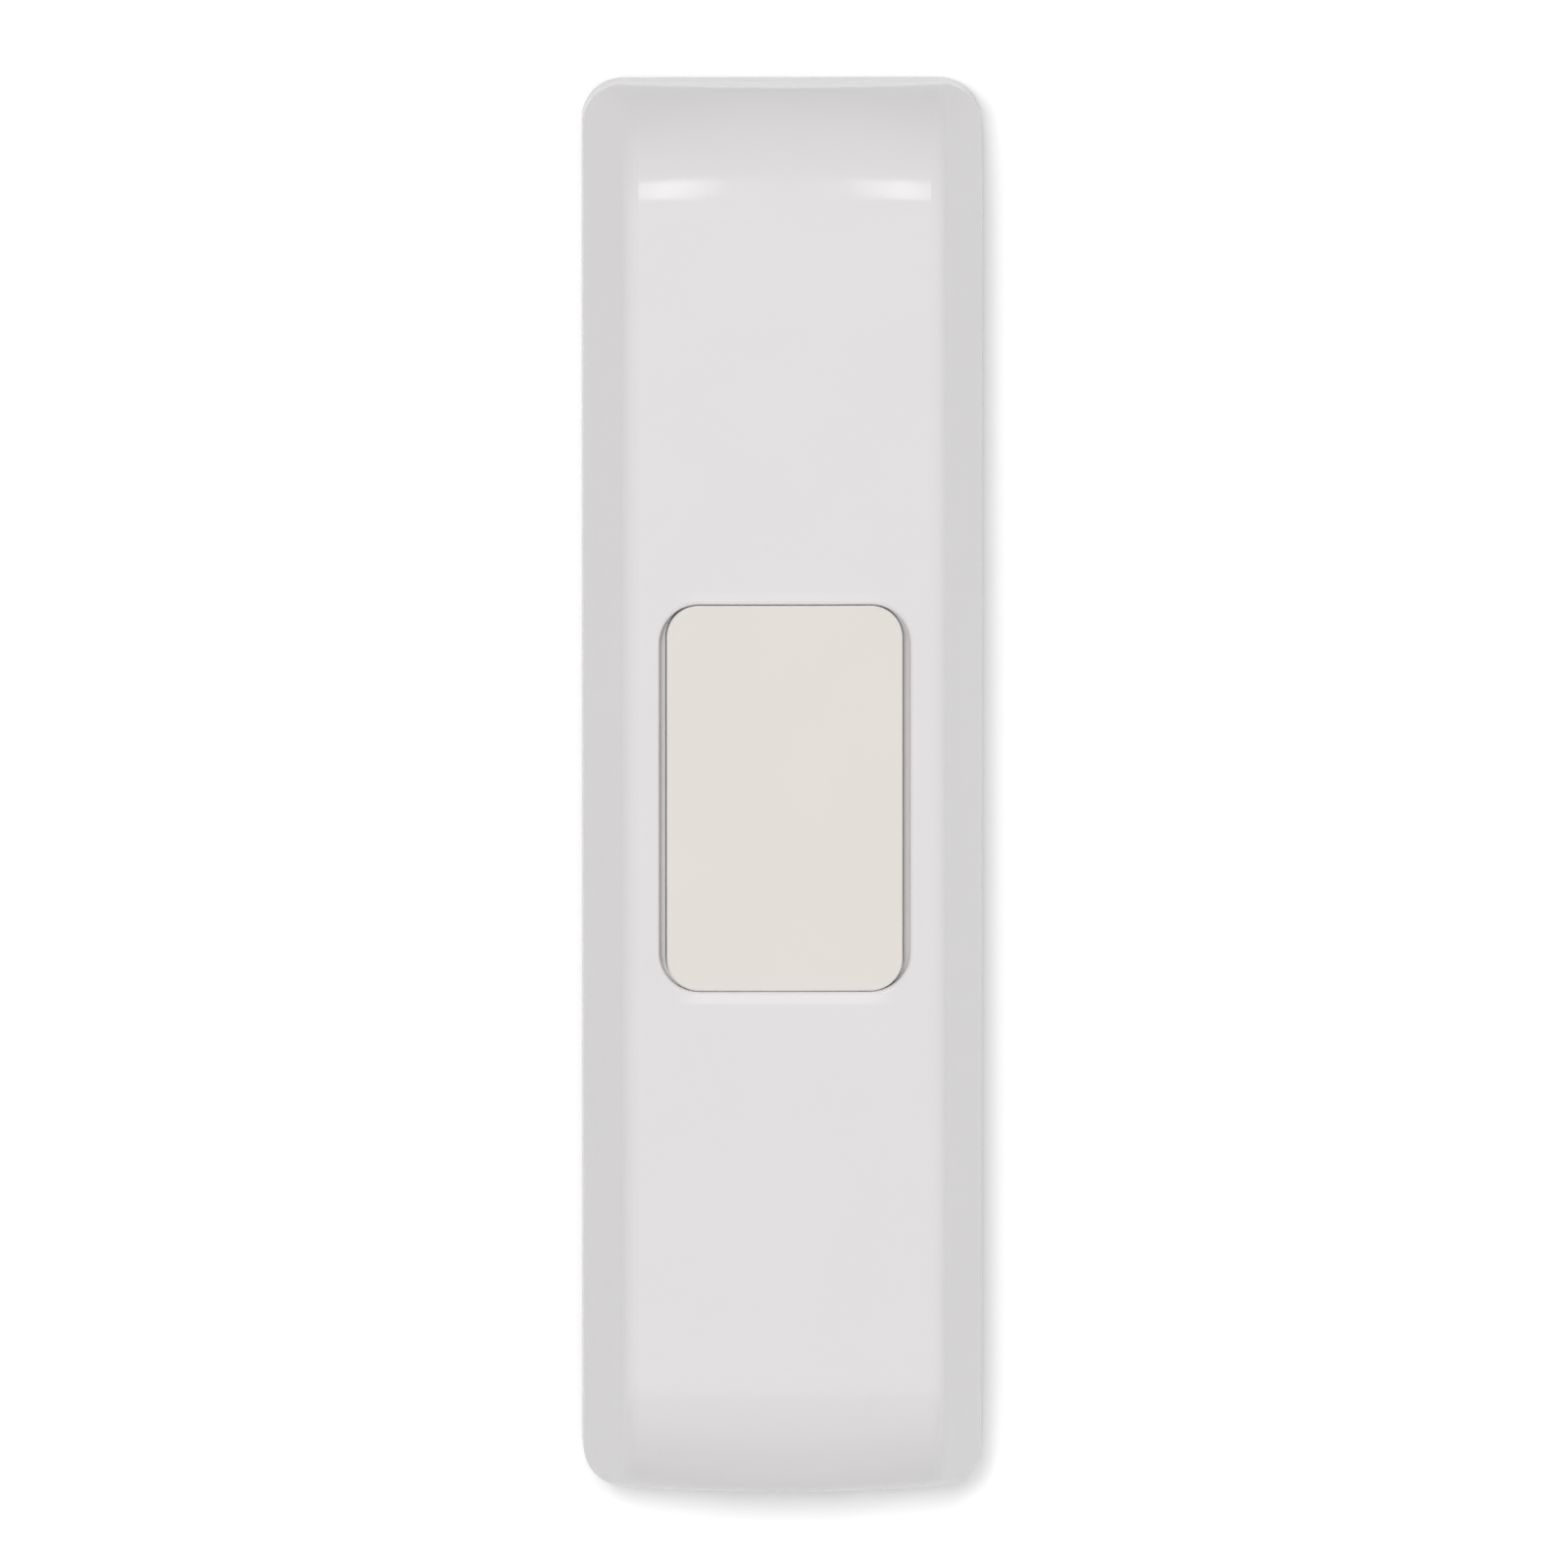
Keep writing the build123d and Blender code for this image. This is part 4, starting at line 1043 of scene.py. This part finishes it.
def studio_white():
    """Matt white that is seen from its front only."""
    material, tree, shader = new_material("studio_white", (STUDIO_WHITE,) * 3, 0.9)
    nodes, links = tree.nodes, tree.links
    nodes.remove(shader)
    path = nodes.new("ShaderNodeLightPath")
    surface = node(tree, "ShaderNodeBsdfDiffuse", Color=grey(STUDIO_WHITE)).outputs["BSDF"]
    for ray, level in (
        ("Is Transmission Ray", MIRRORED_WHITE),
        ("Is Glossy Ray", MIRRORED_WHITE),
        ("Is Camera Ray", SHOWN_WHITE),
    ):
        seen = node(tree, "ShaderNodeBsdfDiffuse", Color=grey(level))
        by_ray = nodes.new("ShaderNodeMixShader")
        links.new(path.outputs[ray], by_ray.inputs["Fac"])
        links.new(surface, by_ray.inputs[1])
        links.new(seen.outputs["BSDF"], by_ray.inputs[2])
        surface = by_ray.outputs["Shader"]
    side = nodes.new("ShaderNodeNewGeometry")
    clear = nodes.new("ShaderNodeBsdfTransparent")
    one_way = nodes.new("ShaderNodeMixShader")
    links.new(side.outputs["Backfacing"], one_way.inputs["Fac"])
    links.new(surface, one_way.inputs[1])
    links.new(clear.outputs["BSDF"], one_way.inputs[2])
    links.new(one_way.outputs["Shader"], nodes["Material Output"].inputs["Surface"])
    return material


WALL_HALF_WIDTH = 1.5
WALL_TOP = 1.5
FLOOR_LEVEL = -1.1
FLOOR_REACH = 2.0


def flat_piece(name, corners, faces, material):
    mesh = bpy.data.meshes.new(name)
    mesh.from_pydata([tuple(corner) for corner in corners], [], faces)
    mesh.materials.append(material)
    piece = bpy.data.objects.new(name, mesh)
    bpy.context.scene.collection.objects.link(piece)


HOUSING_CORNER_RADIUS = 3.0
WALL_OPENING_INSET = 1.0        # from the housing's outline, which hides the opening
WALL_CLEARANCE = 0.05 * MM      # behind the part


def make_wall(material):
    """The wall, open behind the part so that light reaches its back."""
    low, high = box_of("front_housing")
    opening = rectangle(
        0, 0, high.x - low.x - 2 * WALL_OPENING_INSET, high.z - low.z - 2 * WALL_OPENING_INSET,
        HOUSING_CORNER_RADIUS - WALL_OPENING_INSET,
    )
    near = [(x * MM, WALL_CLEARANCE, z * MM) for x, z in opening]
    far = [
        (math.copysign(WALL_HALF_WIDTH, x), WALL_CLEARANCE, WALL_TOP if z > 0 else FLOOR_LEVEL)
        for x, z in opening
    ]
    count = len(opening)
    faces = []
    for n in range(count):
        following = (n + 1) % count
        ends = [n] if far[n] == far[following] else [n, following]
        faces.append([count + end for end in ends] + [following, n])
    flat_piece("wall", near + far, faces, material)


def make_floor(material):
    reach = FLOOR_REACH
    corners = [(-reach, -reach, FLOOR_LEVEL), (reach, -reach, FLOOR_LEVEL),
               (reach, reach, FLOOR_LEVEL), (-reach, reach, FLOOR_LEVEL)]
    flat_piece("floor", corners, [(0, 1, 2, 3)], material)


WORLD_FILL = 0.318              # strength of the even light


def make_world():
    """Even white light. The camera sees a plain white behind it, also in reflections."""
    world = bpy.data.worlds.new("studio")
    bpy.context.scene.world = world
    world.use_nodes = True
    tree = world.node_tree
    path = tree.nodes.new("ShaderNodeLightPath")
    surface = tree.nodes["Background"]
    surface.inputs["Color"].default_value = grey(1)
    surface.inputs["Strength"].default_value = WORLD_FILL
    surface = surface.outputs["Background"]
    for ray in ("Is Transmission Ray", "Is Glossy Ray", "Is Camera Ray"):
        seen = node(tree, "ShaderNodeBackground", Color=grey(1), Strength=1.0)
        by_ray = tree.nodes.new("ShaderNodeMixShader")
        tree.links.new(path.outputs[ray], by_ray.inputs["Fac"])
        tree.links.new(surface, by_ray.inputs[1])
        tree.links.new(seen.outputs["Background"], by_ray.inputs[2])
        surface = by_ray.outputs["Shader"]
    tree.links.new(surface, tree.nodes["World Output"].inputs["Surface"])


def direction(azimuth, elevation):
    """Unit vector towards a place seen from the part. Azimuth 0 is in front and 90 is at +X."""
    a, e = math.radians(azimuth), math.radians(elevation)
    return Vector((math.sin(a) * math.cos(e), -math.cos(a) * math.cos(e), math.sin(e)))


def area_light(name, azimuth, elevation, distance, width, height, power):
    """A rectangular lamp that faces the part and that the camera doesn't see."""
    lamp = bpy.data.lights.new(name, "AREA")
    lamp.shape = "RECTANGLE"
    lamp.size, lamp.size_y = width, height
    lamp.energy = power
    light = bpy.data.objects.new(name, lamp)
    towards = direction(azimuth, elevation)
    light.location = towards * distance
    light.rotation_mode = "QUATERNION"
    light.rotation_quaternion = towards.to_track_quat("Z", "Y")
    light.visible_camera = False
    bpy.context.scene.collection.objects.link(light)
    return light


# Azimuth and elevation in degrees, distance, width and height in metres, and power in watts
LAMPS = {
    "key": (-8.5, 9.0, 1.0, 0.26, 0.22, 3.42),
    "front": (0, 5, 1.6, 1.2, 1.2, 1.03),
    "left": (-60, 0, 1.0, 0.6, 1.0, 1.08),
    "right": (60, 0, 1.0, 0.6, 1.0, 1.97),
    "bottom": (0, -50, 1.0, 1.0, 0.6, 0.90),
    "back": (180, 10, 1.0, 0.8, 0.8, 4.5),
    "strip_left": (-7.4, 28.5, 1.5, 0.07, 0.48, 0.83),
    "strip_right": (9.5, 28.5, 1.5, 0.07, 0.48, 0.8),
}


def make_lights():
    """Only the two strips show in reflections: they make the two highlights on the upper bend."""
    for name, settings in LAMPS.items():
        light = area_light(name, *settings)
        light.visible_glossy = "strip" in name


# ---- camera ----

CAMERA_LENS = 1000.0            # long, so there is hardly any perspective
VIEW_WIDTH = 115.8 * MM
VIEW_AZIMUTH = -1.0
VIEW_ELEVATION = 5.0
VIEW_CENTRE = Vector((0.10, -9.0, 0.30)) * MM
CLIP_START = 0.05
CLIP_END = 10.0


def make_camera():
    data = bpy.data.cameras.new("camera")
    data.lens = CAMERA_LENS
    camera = bpy.data.objects.new("camera", data)
    bpy.context.scene.collection.objects.link(camera)
    towards = direction(VIEW_AZIMUTH, VIEW_ELEVATION)
    distance = VIEW_WIDTH * data.lens / data.sensor_width
    camera.location = VIEW_CENTRE + towards * distance
    camera.rotation_mode = "QUATERNION"
    camera.rotation_quaternion = towards.to_track_quat("Z", "Y")
    data.clip_start = CLIP_START
    data.clip_end = CLIP_END
    bpy.context.scene.camera = camera


paint_gap_light()
dress_cad_nodes()
dress_parts()
make_springs()
white = studio_white()
make_wall(white)
make_floor(white)
make_world()
make_lights()
make_camera()
bpy.context.scene.view_settings.view_transform = "Standard"
